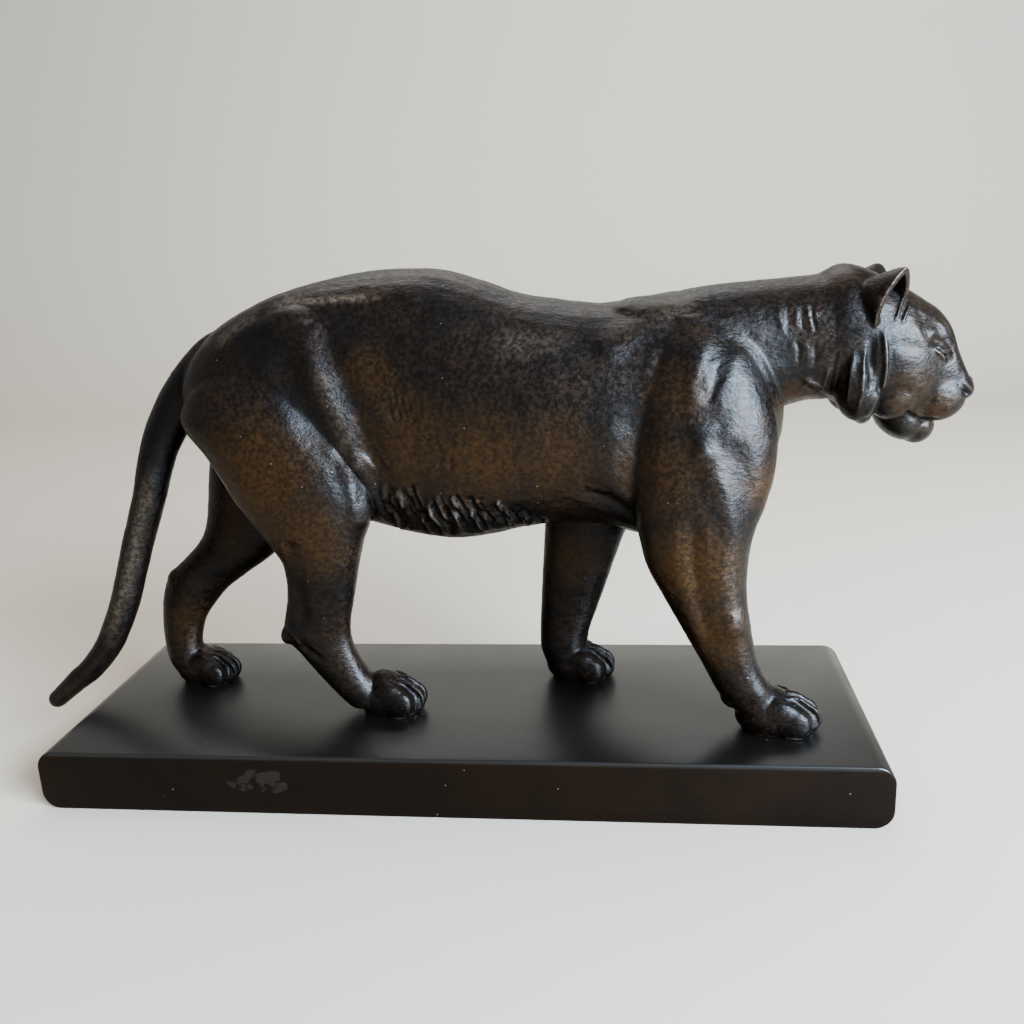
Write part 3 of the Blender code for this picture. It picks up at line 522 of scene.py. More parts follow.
# Stage: the camera's turns in degrees, the sweep behind the object, and for each light its
# name, place, size, power and colour
CAMERA_YAW = 7.35
CAMERA_PITCH = 15.59
CAMERA_ROLL = -2.72
SENSOR_WIDTH = 36.0
NEAREST_SEEN = 0.01
SWEEP_REACH = 3.0
SWEEP_BACK = 1.3
SWEEP_RADIUS = 0.6
SWEEP_HEIGHT = 2.6
SWEEP_EASE = 0.01
SWEEP_STEPS = 24
FLOOR_ROUGHNESS = 0.7
LIT_POINT = (0.0, 0.0, 0.09)
LIGHTS = (
    ("window", (0.86, -0.66, 0.44), 0.70, 98.0, (0.62, 0.79, 1.0)),
    ("ceiling", (-0.1, 0.50, 1.15), 0.9, 9.0, (0.97, 0.98, 1.0)),
)
SKY = (0.92, 0.94, 0.97, 1.0)
SKY_STRENGTH = 0.62


# Meshes


def object_from_bmesh(name, bm):
    mesh = bpy.data.meshes.new(name)
    bm.to_mesh(mesh)
    bm.free()
    obj = bpy.data.objects.new(name, mesh)
    bpy.context.scene.collection.objects.link(obj)
    return obj


def apply_modifiers(obj):
    """Give the object the mesh that its modifiers make, and drop them."""
    bpy.context.view_layer.update()
    graph = bpy.context.evaluated_depsgraph_get()
    old = obj.data
    obj.data = bpy.data.meshes.new_from_object(obj.evaluated_get(graph))
    obj.modifiers.clear()
    obj.data.name = old.name
    bpy.data.meshes.remove(old)


def smooth_rows(rows, steps):
    """Rows of a section table with more rows put between them, on a Catmull-Rom curve."""
    rows = np.array(rows) / 1000
    ends = np.vstack([2 * rows[0] - rows[1], rows, 2 * rows[-1] - rows[-2]])
    made = []
    for k in range(len(rows) - 1):
        before, start, end, after = ends[k : k + 4]
        for i in range(steps):
            t = i / steps
            made.append(
                0.5
                * (
                    2 * start
                    + (end - before) * t
                    + (2 * before - 5 * start + 4 * end - after) * t**2
                    + (3 * start - before - 3 * end + after) * t**3
                )
            )
    return made + [rows[-1]]


def drawn_out(value, fullness):
    """A cosine or sine drawn out towards a squarer curve by a fullness above 2."""
    return math.copysign(abs(value) ** (2.0 / fullness), value)


def add_ring(bm, centre, side, ahead, behind, fullness):
    """A closed section: `side` is half its width, `ahead` and `behind` its two depths."""
    made = bmesh.ops.create_circle(bm, segments=RING_SIDES, radius=1.0)
    verts = made["verts"]
    for vert in verts:
        across = drawn_out(vert.co.x, fullness)
        along = drawn_out(vert.co.y, fullness)
        vert.co = centre + side * across + (ahead * along if along > 0 else -behind * along)
    edges = {edge for vert in verts for edge in vert.link_edges}
    return verts, list(edges)


def add_loft(whole, loft, rings):
    """Join the rings into a closed skin and add it to the whole. Each loft is built on
    its own because the operators slow down as a mesh grows."""
    for (_, first), (_, second) in zip(rings, rings[1:]):
        bmesh.ops.bridge_loops(loft, edges=first + second)
    for verts, _ in (rings[0], rings[-1]):
        bmesh.ops.contextual_create(loft, geom=verts)
    add_mesh(whole, loft)


def add_mesh(whole, bm):
    mesh = bpy.data.meshes.new("part of the figure")
    bm.to_mesh(mesh)
    bm.free()
    whole.from_mesh(mesh)
    bpy.data.meshes.remove(mesh)


def add_trunk(whole, table):
    """Upright sections across X: a loft for the trunk, the neck or the head."""
    bm = bmesh.new()
    rings = []
    for x, top, bottom, half_width in smooth_rows(table, LOFT_STEPS):
        level = bottom + (top - bottom) * WIDEST_LEVEL
        rings.append(
            add_ring(
                bm,
                Vector((x, 0.0, level)),
                Vector((0.0, half_width, 0.0)),
                Vector((0.0, 0.0, top - level)),
                Vector((0.0, 0.0, bottom - level)),
                BACK_FULLNESS,
            )
        )
    add_loft(whole, bm, rings)


def add_leg(whole, table):
    """Level sections down a leg."""
    bm = bmesh.new()
    rings = []
    for height, rear, front, middle, half in smooth_rows(table, LOFT_STEPS):
        depth = Vector(((front - rear) / 2, 0.0, 0.0))
        centre = Vector(((rear + front) / 2, middle, height))
        rings.append(
            add_ring(bm, centre, Vector((0.0, half, 0.0)), depth, -depth, LEG_FULLNESS)
        )
    add_loft(whole, bm, rings)


def add_tail(whole):
    bm = bmesh.new()
    rows = smooth_rows(TAIL, LOFT_STEPS)
    points = [Vector(row[:3]) for row in rows]
    rings = []
    for k, row in enumerate(rows):
        along = points[min(k + 1, len(rows) - 1)] - points[max(k - 1, 0)]
        ahead = along.cross(Vector((0.0, 1.0, 0.0))).normalized() * row[3]
        side = ahead.cross(along).normalized() * row[3]
        rings.append(add_ring(bm, points[k], side, ahead, -ahead, 2.0))
    add_loft(whole, bm, rings)
    add_ball(whole, points[-1], [rows[-1][3]] * 3)


def add_ball(whole, centre, half_sizes, tilt=0.0, turn=0.0):
    place = (
        Matrix.Translation(centre)
        @ Matrix.Rotation(math.radians(turn), 4, "Z")
        @ Matrix.Rotation(math.radians(tilt), 4, "Y")
        @ Matrix.Diagonal((*half_sizes, 1.0))
    )
    bm = bmesh.new()
    bmesh.ops.create_uvsphere(
        bm, u_segments=BALL_SIDES, v_segments=BALL_SIDES // 2, radius=1.0, matrix=place
    )
    add_mesh(whole, bm)


def add_masses(bm):
    masses = []
    for (x, y, z), *more in MIRRORED_MASSES:
        masses += [((x, -y, z), *more), ((x, y, z), *more)]
    for centre, half_sizes, tilt in (*masses, *MIDDLE_MASSES, *HOCKS):
        add_ball(bm, Vector(in_metres(centre)), in_metres(half_sizes), tilt)


def add_paw(whole, heel, toe, middle, half_width, height):
    """The pad behind, the rounded front of the paw and four toes that swell out of it."""
    length = toe - heel
    for along, up, (long, wide, tall), tilt in PAW_BALLS:
        centre = Vector((heel + along * length, middle, up * height))
        add_ball(whole, centre, (long * length, wide * half_width, tall * height), tilt)
    for across in TOES_ACROSS:
        tip = toe - length * (OUTER_TOE_SET_BACK if abs(across) > 1 else 0.0)
        for back, step, up, (long, wide, tall), tilt, turn in TOE_BALLS:
            beside = middle + across * half_width * step
            centre = Vector((tip - back * length, beside, up * height))
            half_sizes = (long * length, wide * half_width, tall * height)
            add_ball(whole, centre, half_sizes, tilt, across * turn)


def add_ear(whole, side):
    """Half an ellipsoid with a wall, open forwards and outwards."""
    cup = bmesh.new()
    bmesh.ops.create_uvsphere(cup, u_segments=36, v_segments=24, radius=1.0)
    open_side = [vert for vert in cup.verts if vert.co.x > EAR_OPENING]
    bmesh.ops.delete(cup, geom=open_side, context="VERTS")
    for vert in cup.verts:
        vert.co.y *= 1.0 - EAR_POINT * max(vert.co.z, 0.0) ** 2
        vert.co.x *= 1.0 - EAR_SLOPE * max(vert.co.z, 0.0)
    place = (
        Matrix.Translation((EAR_PLACE[0], side * EAR_PLACE[1], EAR_PLACE[2]))
        @ Matrix.Rotation(math.radians(side * EAR_TURN), 4, "Z")
        @ Matrix.Rotation(math.radians(EAR_LEAN), 4, "Y")
        @ Matrix.Diagonal((*EAR_HALF_SIZES, 1.0))
    )
    cup.transform(place)
    bmesh.ops.recalc_face_normals(cup, faces=cup.faces)
    bmesh.ops.solidify(cup, geom=list(cup.faces), thickness=EAR_WALL)
    add_mesh(whole, cup)


def block_out(voxel):
    """Every mass of the figure in one mesh, fused by a voxel remesh."""
    bm = bmesh.new()
    for table in (TRUNK, NECK, HEAD):
        add_trunk(bm, table)
    for table in (NEAR_HIND, FAR_HIND, NEAR_FORE, FAR_FORE):
        add_leg(bm, table)
    for sizes in PAWS.values():
        add_paw(bm, *sizes)
    add_tail(bm)
    add_masses(bm)
    for side in (-1, 1):
        add_ear(bm, side)
    bmesh.ops.recalc_face_normals(bm, faces=bm.faces)
    figure = object_from_bmesh("lioness_figure", bm)
    remesh = figure.modifiers.new("fuse", "REMESH")
    remesh.mode = "VOXEL"
    remesh.voxel_size = voxel
    apply_modifiers(figure)
    return figure


# Working over


def positions(mesh):
    flat = np.empty(len(mesh.vertices) * 3)
    mesh.vertices.foreach_get("co", flat)
    return flat.reshape(-1, 3)


def move_to(mesh, points):
    mesh.vertices.foreach_set("co", points.ravel())
    mesh.update()


def outward(mesh):
    flat = np.empty(len(mesh.vertices) * 3)
    mesh.vertex_normals.foreach_get("vector", flat)
    return flat.reshape(-1, 3)


def edge_ends(mesh):
    flat = np.empty(len(mesh.edges) * 2, dtype=int)
    mesh.edges.foreach_get("vertices", flat)
    return flat.reshape(-1, 2)


def relax(points, ends, share, steps):
    """Move every point towards the mean of its neighbours, by each of the steps."""
    owners = ends.T.ravel()
    neighbours = ends[:, ::-1].T.ravel()[np.argsort(owners, kind="stable")]
    count = np.bincount(owners, minlength=len(points))
    first = np.cumsum(count) - count
    for step in steps:
        mean = np.add.reduceat(points[neighbours], first) / count[:, None]
        points = points + step * share[:, None] * (mean - points)
    return points


def blend(places, start, run):
    """0 before the start and 1 after the run, which is negative where it runs back."""
    return np.clip((places - start) / run, 0.0, 1.0)


def softness(points):
    """How far each point is relaxed: less on the face, and little on the ears and paws."""
    along, across, height = points.T
    share = blend(along, *BEHIND_HEAD)
    share *= np.maximum(blend(height, *ABOVE_PAWS), blend(along, *ON_TAIL))
    on_ear = (height > EAR_LOW) & (np.abs(across) > EAR_INNER) & (along < EAR_AHEAD)
    share = np.maximum(share, FACE_SHARE * blend(along, *ON_FACE) * ~on_ear)
    share = np.maximum(share, PAW_SHARE * blend(height, *ON_PAWS))
    return FINE_SHARE + (1.0 - FINE_SHARE) * share


def groove_toes(points, normals):
    """Three furrows over the front of each paw part its four toes."""
    sink = np.zeros(len(points))
    faces = np.clip(1.6 * (normals[:, 2] + np.maximum(normals[:, 0], 0.0)), 0.0, 1.0)
    for heel, toe, middle, half_width, height in PAWS.values():
        length = toe - heel
        for across in (-1.0, 0.0, 1.0):
            start = heel + (0.60 if across else 0.56) * length
            along = (points[:, 0] - start) / (toe - start)
            centre = middle + across * half_width * (0.36 + 0.14 * np.clip(along, 0.0, 1.0))
            gap = np.abs(points[:, 1] - centre) / TOE_FURROW_REACH
            near = (along > 0.0) & (along < 1.3) & (gap < 1.0) & (points[:, 2] < height * 1.3)
            depth = np.clip(3.0 * along[near], 0.0, 1.0) * (1.0 - gap[near] ** 2) ** 2
            sink[near] = np.maximum(sink[near], TOE_FURROW_DEPTH * depth * faces[near])
    return points - normals * sink[:, None]


def flare_soles(points):
    """A thin rim where each sole meets the plinth."""
    low = np.clip(1.0 - points[:, 2] / SOLE_RIM, 0.0, 1.0) ** 2
    for heel, toe, middle, _, _ in PAWS.values():
        centre = np.array(((heel + toe) / 2, middle))
        out = points[:, :2] - centre
        reach = np.linalg.norm(out, axis=1)
        near = (reach < (toe - heel) * 0.75) & (low > 0.0)
        points[near, :2] += out[near] / reach[near, None] * (low[near] * SOLE_RIM * 0.8)[:, None]
    return points


def faces_side(points, normals, side):
    """How squarely each point faces the given side, from 0 to 1."""
    if side == "both":
        return np.clip(np.abs(normals[:, 1]) * 2.5, 0.0, 1.0) * (normals[:, 1] * points[:, 1] > 0)
    sign = -1.0 if side == "right" else 1.0
    return np.clip(sign * normals[:, 1] * 2.5, 0.0, 1.0) * (sign * points[:, 1] > 0.002)


def stroke_weights(points, normals, side, reach, line, tapered):
    """The points near a line drawn from the side, and how strongly it works on them."""
    flat = points[:, (0, 2)]
    line, reach = np.array(line) / 1000, reach / 1000
    low, high = line.min(axis=0) - reach, line.max(axis=0) + reach
    near = np.nonzero(((flat > low) & (flat < high)).all(axis=1))[0]
    nearest = np.full(len(near), np.inf)
    taper = np.ones(len(near))
    lengths = np.linalg.norm(np.diff(line, axis=0), axis=1)
    done = 0.0
    for start, end, length in zip(line, line[1:], lengths):
        run = end - start
        part = np.clip((flat[near] - start) @ run / (run @ run), 0.0, 1.0)
        gap = np.linalg.norm(flat[near] - start - part[:, None] * run, axis=1)
        closer = gap < nearest
        nearest[closer] = gap[closer]
        if tapered:
            along = (done + part[closer] * length) / lengths.sum()
            taper[closer] = np.clip(5.0 * np.minimum(along, 1.0 - along), 0.0, 1.0)
        done += length
    profile = np.clip(1.0 - (nearest / reach) ** 2, 0.0, 1.0) ** 2
    return near, profile * taper * faces_side(points[near], normals[near], side)


def press_strokes(points, normals, strokes, tapered=False):
    """Raise or sink the surface along lines that are drawn on it from the side."""
    rise = np.zeros(len(points))
    for side, reach, height, line in strokes:
        near, weight = stroke_weights(points, normals, side, reach, line, tapered)
        rise[near] += height / 1000 * weight
    return points + normals * rise[:, None]


def height_on(line, x):
    """The height of a drawn line at a place along X."""
    places, heights = zip(*line)
    return float(np.interp(x, places, heights))


def fringe_strokes():
    """Tufts of the belly's fringe: short curved locks, raised and sunk in turn, that
    overlap in uneven rows."""
    rng = np.random.default_rng(FRINGE_SEED)
    first, last = FRINGE_TOP[0][0], FRINGE_TOP[-1][0]
    strokes = []
    for k in range(FRINGE_LOCKS):
        x = first + (last - first) * (k + rng.uniform(-0.5, 0.5)) / (FRINGE_LOCKS - 1)
        top, foot = height_on(FRINGE_TOP, x), height_on(FRINGE_BOTTOM, x + FRINGE_SWEEP)
        start = rng.uniform(-0.05, 0.6)
        end = min(start + rng.uniform(*LOCK_SHARE), 1.0)
        sweep = FRINGE_SWEEP * rng.uniform(0.3, 1.3) * (end - start)
        bow = rng.uniform(-1.0, 1.0)
        reach = rng.uniform(*LOCK_REACH)
        rise = rng.uniform(*LOCK_RISE) * (-1 if k % 2 else 1)
        line = [
            (
                x + FRINGE_SWEEP * start + sweep * t**LOCK_CURL + bow * math.sin(math.pi * t),
                top + (foot - top) * (start + (end - start) * t),
            )
            for t in (0.0, 0.25, 0.5, 0.75, 1.0)
        ]
        strokes.append(("both", reach, rise, line))
    return strokes


def hand_modelled(points, normals):
    """The slight unevenness that modelling by hand leaves, on two scales."""
    waves = np.array([noise.noise(Vector(p) * WAVES) for p in points])
    dimples = np.array([noise.noise(Vector(p)) for p in points * DIMPLES])
    calm = np.maximum(blend(points[:, 0], *CALM_HEAD), LEAST_UNEVEN)
    rise = (waves * WAVE_HEIGHT + dimples * DIMPLE_HEIGHT) * calm
    return points + normals * rise[:, None]


def relief_of(points, normals, ends, rounds):
    """How far each point stands proud of its surroundings, in millimetres."""
    mean = relax(points, ends, np.ones(len(points)), (0.6,) * rounds)
    return np.einsum("ij,ij->i", points - mean, normals) * 1000


def paint(mesh, name, values):
    """Keep one value for each point as an attribute."""
    layer = mesh.attributes.new(name, "FLOAT", "POINT")
    layer.data.foreach_set("value", values.astype(np.float32))


def reflected_warmth_of(points):
    """How strongly the warm reflection from below is painted at each point, from 0 to 1."""
    flat = points[:, (0, 2)] * 1000
    warm_reflection = np.zeros(len(points))
    for x, height, radius, strength in REFLECTED_WARMTH_PLACES:
        gap = np.linalg.norm(flat - (x, height), axis=1)
        warm_reflection = np.maximum(warm_reflection, strength * np.clip(1.0 - (gap / radius) ** 2, 0.0, 1.0))
    return warm_reflection


def bare_and_highlight_of(points, normals):
    """How pale tan each point is painted along the drawn lines, as wear and as a painted
    highlight, from 0 to 1.
    """
    bare = np.zeros(len(points))
    for side, reach, strength, line in BARE_AND_HIGHLIGHT_LINES:
        near, weight = stroke_weights(points, normals, side, reach, line, True)
        bare[near] = np.maximum(bare[near], strength * weight)
    return bare


def sculpt(figure, settings):
    """Melt the masses together, work the surface over and bring its faces down."""
    mesh = figure.data
    points, ends = positions(mesh), edge_ends(mesh)
    rounds = round((settings.relax_reach / settings.voxel) ** 2)
    points = relax(points, ends, softness(points), STEADY_STEPS * rounds)
    move_to(mesh, points)
    points = press_strokes(points, outward(mesh), FORM_STROKES)
    points = relax(points, ends, softness(points), STEADY_STEPS * FORM_ROUNDS)
    move_to(mesh, points)
    points = groove_toes(points, outward(mesh))
    move_to(mesh, points)
    points = press_strokes(points, outward(mesh), FINE_STROKES, True)
    move_to(mesh, points)
    points = press_strokes(points, outward(mesh), fringe_strokes(), True)
    move_to(mesh, points)
    points = hand_modelled(points, outward(mesh))
    points = relax(points, ends, np.full(len(points), LAST_SHARE), STEADY_STEPS)
    over_plinth = points[:, 0] > TAIL_END_REACH
    points[over_plinth, 2] = np.maximum(points[over_plinth, 2], 0.0)
    points = flare_soles(points)
    move_to(mesh, points)
    mesh.calc_loop_triangles()
    thin = figure.modifiers.new("fewer faces", "DECIMATE")
    thin.ratio = settings.triangles / len(mesh.loop_triangles)
    apply_modifiers(figure)


def paint_wear_and_light(mesh):
    """Lay down the attributes that the bronze finish reads: relief for wear and painted highlight
    on ridges and for darkened furrows, broad depth for painted shade in recesses, the painted
    warm reflection, and the pale tan lines of wear and painted highlight.
    """
    points, normals, ends = positions(mesh), outward(mesh), edge_ends(mesh)
    on_paws = blend(points[:, 2], *CALM_PAWS)
    relief = relief_of(points, normals, ends, RELIEF_ROUNDS)
    paint(mesh, "relief", relief * (1.0 - PAW_CALM * on_paws))
    # broad depth, which the finish reads to paint shade into recesses
    paint(mesh, "depth", relief_of(points, normals, ends, BROAD_SHADE_ROUNDS))
    paint(mesh, "rubbed", reflected_warmth_of(points))
    paint(mesh, "bare", bare_and_highlight_of(points, normals))


def add_cylinder(bm, diameter, bottom, top, place, sides=32):
    bmesh.ops.create_cone(
        bm,
        cap_ends=True,
        segments=sides,
        radius1=diameter / 2,
        radius2=diameter / 2,
        depth=top - bottom,
        matrix=Matrix.Translation(place + Vector((0.0, 0.0, (bottom + top) / 2))),
    )


def drill_paw_places(obj, diameter, bottom, top):
    """Cut an upright round hole under every paw."""
    bm = bmesh.new()
    for heel, toe, middle, _, _ in PAWS.values():
        place = Vector((heel + SCREW_PLACE_IN_PAW * (toe - heel), middle, 0.0))
        add_cylinder(bm, diameter, bottom, top, place)
    cutter = object_from_bmesh("drill", bm)
    cut = obj.modifiers.new("drill", "BOOLEAN")
    cut.operation = "DIFFERENCE"
    cut.object = cutter
    apply_modifiers(obj)
    bpy.data.objects.remove(cutter)


def model_plinth(settings):
    """The slab's outline seen from the front, rounded at its ends and drawn out in depth."""
    length, depth, thickness = PLINTH_HIGH - PLINTH_LOW
    half, radius = length / 2, settings.end_radius
    corners = (
        (half - radius, radius, 270.0),
        (half - radius, thickness - radius, 0.0),
        (radius - half, thickness - radius, 90.0),
        (radius - half, radius, 180.0),
    )
    bm = bmesh.new()
    outline = []
    for x, z, start in corners:
        for k in range(CORNER_STEPS + 1):
            turn = math.radians(start + 90.0 * k / CORNER_STEPS)
            place = (x + radius * math.cos(turn), -depth / 2, z + radius * math.sin(turn))
            outline.append(bm.verts.new(place))
    face = bm.faces.new(outline)
    grown = bmesh.ops.extrude_face_region(bm, geom=[face])
    moved = [item for item in grown["geom"] if isinstance(item, bmesh.types.BMVert)]
    bmesh.ops.translate(bm, verts=moved, vec=(0.0, depth, 0.0))
    bmesh.ops.recalc_face_normals(bm, faces=bm.faces)
    crisp = [edge for edge in bm.edges if edge.calc_face_angle(0.0) > math.radians(CRISP_ANGLE)]
    bmesh.ops.bevel(
        bm,
        geom=crisp,
        offset=settings.edge_bevel,
        segments=3,
        profile=0.5,
        affect="EDGES",
        material=-1,
    )
    return object_from_bmesh("plinth_slab", bm)


# Materials


def add_node(tree, kind, inputs=None, **settings):
    """A node with its settings, and its inputs given as values or linked from sockets."""
    made = tree.nodes.new(kind)
    for name, value in settings.items():
        setattr(made, name, value)
    for name, value in (inputs or {}).items():
        if isinstance(value, bpy.types.NodeSocket):
            tree.links.new(value, made.inputs[name])
        else:
            made.inputs[name].default_value = value
    return made


def mix_colours(tree, mask, first, second):
    made = add_node(tree, "ShaderNodeMix", {0: mask, 6: first, 7: second}, data_type="RGBA")
    return made.outputs[2]


def mix_values(tree, mask, first, second):
    made = add_node(tree, "ShaderNodeMix", {0: mask, 2: first, 3: second}, data_type="FLOAT")
    return made.outputs[0]


def ramp(tree, value, low, high, start=0.0, end=1.0):
    """The value spread smoothly over a range."""
    made = add_node(
        tree,
        "ShaderNodeMapRange",
        {"Value": value, "From Min": low, "From Max": high, "To Min": start, "To Max": end},
        interpolation_type="SMOOTHSTEP",
    )
    return made.outputs["Result"]


def sum_up(tree, operation, first, second):
    made = add_node(tree, "ShaderNodeMath", {0: first, 1: second}, operation=operation)
    return made.outputs[0]


def noise_texture(tree, vector, scale, detail=4.0, roughness=0.55):
    made = add_node(
        tree,
        "ShaderNodeTexNoise",
        {"Vector": vector, "Scale": scale, "Detail": detail, "Roughness": roughness},
    )
    return made.outputs["Fac"]


def new_group(name, inputs, outputs):
    """A node group with named inputs and outputs, and its two end nodes."""
    tree = bpy.data.node_groups.new(name, "ShaderNodeTree")
    for label, kind, value in inputs:
        socket = tree.interface.new_socket(label, in_out="INPUT", socket_type=kind)
        if value is not None:
            socket.default_value = value
    for label, kind in outputs:
        tree.interface.new_socket(label, in_out="OUTPUT", socket_type=kind)
    given = tree.nodes.new("NodeGroupInput").outputs
    return tree, given, tree.nodes.new("NodeGroupOutput").inputs


VECTOR, FLOAT = "NodeSocketVector", "NodeSocketFloat"


def cloudy_group():
    """Soft clouds between two tones, for mottled finishes."""
    tree, given, result = new_group(
        "Cloudy Mottle",
        (("Vector", VECTOR, None), ("Size", FLOAT, 0.02), ("Sharpness", FLOAT, 0.3)),
        (("Mask", FLOAT),),
    )
    scale = sum_up(tree, "DIVIDE", 1.0, given["Size"])
    broad = noise_texture(tree, given["Vector"], scale, 5.0, 0.62)
    low = sum_up(tree, "MULTIPLY", given["Sharpness"], 0.5)
    high = sum_up(tree, "SUBTRACT", 1.0, low)
    tree.links.new(ramp(tree, broad, low, high), result["Mask"])


def specks_group():
    """Small bright grains scattered over a surface, like dust."""
    tree, given, result = new_group(
        "Dust Specks",
        (("Vector", VECTOR, None), ("Spacing", FLOAT, 0.004), ("Share", FLOAT, 0.3)),
        (("Mask", FLOAT),),
    )
    scale = sum_up(tree, "DIVIDE", 1.0, given["Spacing"])
    cells = add_node(tree, "ShaderNodeTexVoronoi", {"Vector": given["Vector"], "Scale": scale})
    dot = ramp(tree, cells.outputs["Distance"], 0.12, 0.04)
    chosen = add_node(tree, "ShaderNodeSeparateColor", {0: cells.outputs["Color"]})
    kept = sum_up(tree, "LESS_THAN", chosen.outputs[0], given["Share"])
    tree.links.new(sum_up(tree, "MULTIPLY", dot, kept), result["Mask"])


def grain_group():
    """Height of a fine cast or brushed grain, drawn out along X."""
    tree, given, result = new_group(
        "Fine Grain",
        (("Vector", VECTOR, None), ("Size", FLOAT, 0.001), ("Stretch", FLOAT, 1.0)),
        (("Height", FLOAT),),
    )
    squeeze = sum_up(tree, "DIVIDE", 1.0, given["Stretch"])
    drawn = add_node(tree, "ShaderNodeCombineXYZ", {0: squeeze, 1: 1.0, 2: 1.0})
    placed = add_node(
        tree,
        "ShaderNodeVectorMath",
        {0: given["Vector"], 1: drawn.outputs[0]},
        operation="MULTIPLY",
    )
    scale = sum_up(tree, "DIVIDE", 1.0, given["Size"])
    grain = noise_texture(tree, placed.outputs[0], scale, 3.0, 0.6)
    tree.links.new(grain, result["Height"])


def use_group(tree, name, **inputs):
    made = tree.nodes.new("ShaderNodeGroup")
    made.node_tree = bpy.data.node_groups[name]
    for label, value in inputs.items():
        if isinstance(value, bpy.types.NodeSocket):
            tree.links.new(value, made.inputs[label])
        else:
            made.inputs[label].default_value = value
    return made.outputs[0]


def new_material(name):
    made = bpy.data.materials.new(name)
    made.use_nodes = True
    tree = made.node_tree
    place = add_node(tree, "ShaderNodeTexCoord").outputs["Object"]
    return made, tree, tree.nodes["Principled BSDF"].inputs, place


def attribute(tree, name):
    return add_node(tree, "ShaderNodeAttribute", attribute_name=name).outputs["Fac"]


def bump(tree, height, strength, distance):
    made = add_node(
        tree,
        "ShaderNodeBump",
        {"Height": height, "Strength": strength, "Distance": distance},
    )
    return made.outputs["Normal"]


def bronze_material(colours):
    """Brown-black patina with painted light: a warm reflection painted on the lower flanks, legs
    and face, pale tan on proud edges and drawn lines that is partly wear and partly painted
    highlight, and furrows and recesses darkened by patina and painted shade.
    """
    made, tree, shader, place = new_material("patinated bronze")
    relief = attribute(tree, "relief")
    clouds = use_group(tree, "Cloudy Mottle", Vector=place, Size=0.020, Sharpness=0.6)
    flecks = use_group(tree, "Cloudy Mottle", Vector=place, Size=0.0014, Sharpness=0.6)
    tone = sum_up(tree, "MULTIPLY", clouds, ramp(tree, flecks, 0.1, 0.9, 0.15, 1.0))
    colour = mix_colours(tree, tone, colours.dark, colours.brown)
    # painted warm reflection from below, laid over the patina on the lower flanks, legs and face
    rubbed = sum_up(
        tree, "MULTIPLY", attribute(tree, "rubbed"), ramp(tree, flecks, 0.0, 1.0, 0.35, 1.0)
    )
    colour = mix_colours(tree, rubbed, colour, colours.warm_reflection)
    # proud ridges go pale tan: partly wear, partly a painted highlight on their crests
    proud_wear_and_highlight = sum_up(tree, "MULTIPLY", ramp(tree, relief, 0.14, 0.50), 0.20)
    bare = sum_up(
        tree, "MULTIPLY", attribute(tree, "bare"), ramp(tree, flecks, 0.0, 1.0, 0.3, 1.0)
    )
    worn_and_highlit = sum_up(tree, "MAXIMUM", proud_wear_and_highlight, sum_up(tree, "MULTIPLY", bare, 0.45))
    colour = mix_colours(tree, worn_and_highlit, colour, colours.bare)
    # furrows darkened by patina, and broad recesses such as the ear cups, armpits and underside
    # darkened as painted shade
    grime_and_shade = sum_up(
        tree,
        "MAXIMUM",
        ramp(tree, relief, -0.05, -0.30),
        ramp(tree, attribute(tree, "depth"), -0.25, -1.3),
    )
    colour = mix_colours(tree, sum_up(tree, "MULTIPLY", grime_and_shade, 0.9), colour, colours.grime_and_shade)
    specks = use_group(tree, "Dust Specks", Vector=place, Spacing=0.0030, Share=0.14)
    colour = mix_colours(tree, sum_up(tree, "MULTIPLY", specks, 0.3), colour, colours.dust)
    tree.links.new(colour, shader["Base Color"])
    gloss = ramp(tree, flecks, 0.0, 1.0, 0.30, 0.45)
    tree.links.new(mix_values(tree, grime_and_shade, gloss, 0.6), shader["Roughness"])
    shader["Metallic"].default_value = 0.5
    shader["Specular IOR Level"].default_value = 0.34
    grain = use_group(tree, "Fine Grain", Vector=place, Size=0.00075, Stretch=2.2)
    coarse = use_group(tree, "Fine Grain", Vector=place, Size=0.0030, Stretch=1.5)
    height = sum_up(tree, "ADD", grain, sum_up(tree, "MULTIPLY", coarse, 1.6))
    tree.links.new(bump(tree, height, 0.48, 0.0003), shader["Normal"])
    return made


# The scuffed patch on the plinth's front, moved to the origin and flattened
SCUFF_PLACE = {"Location": (0.0595, 0.045, -0.0300), "Scale": (1.0, 1.0, 2.6)}


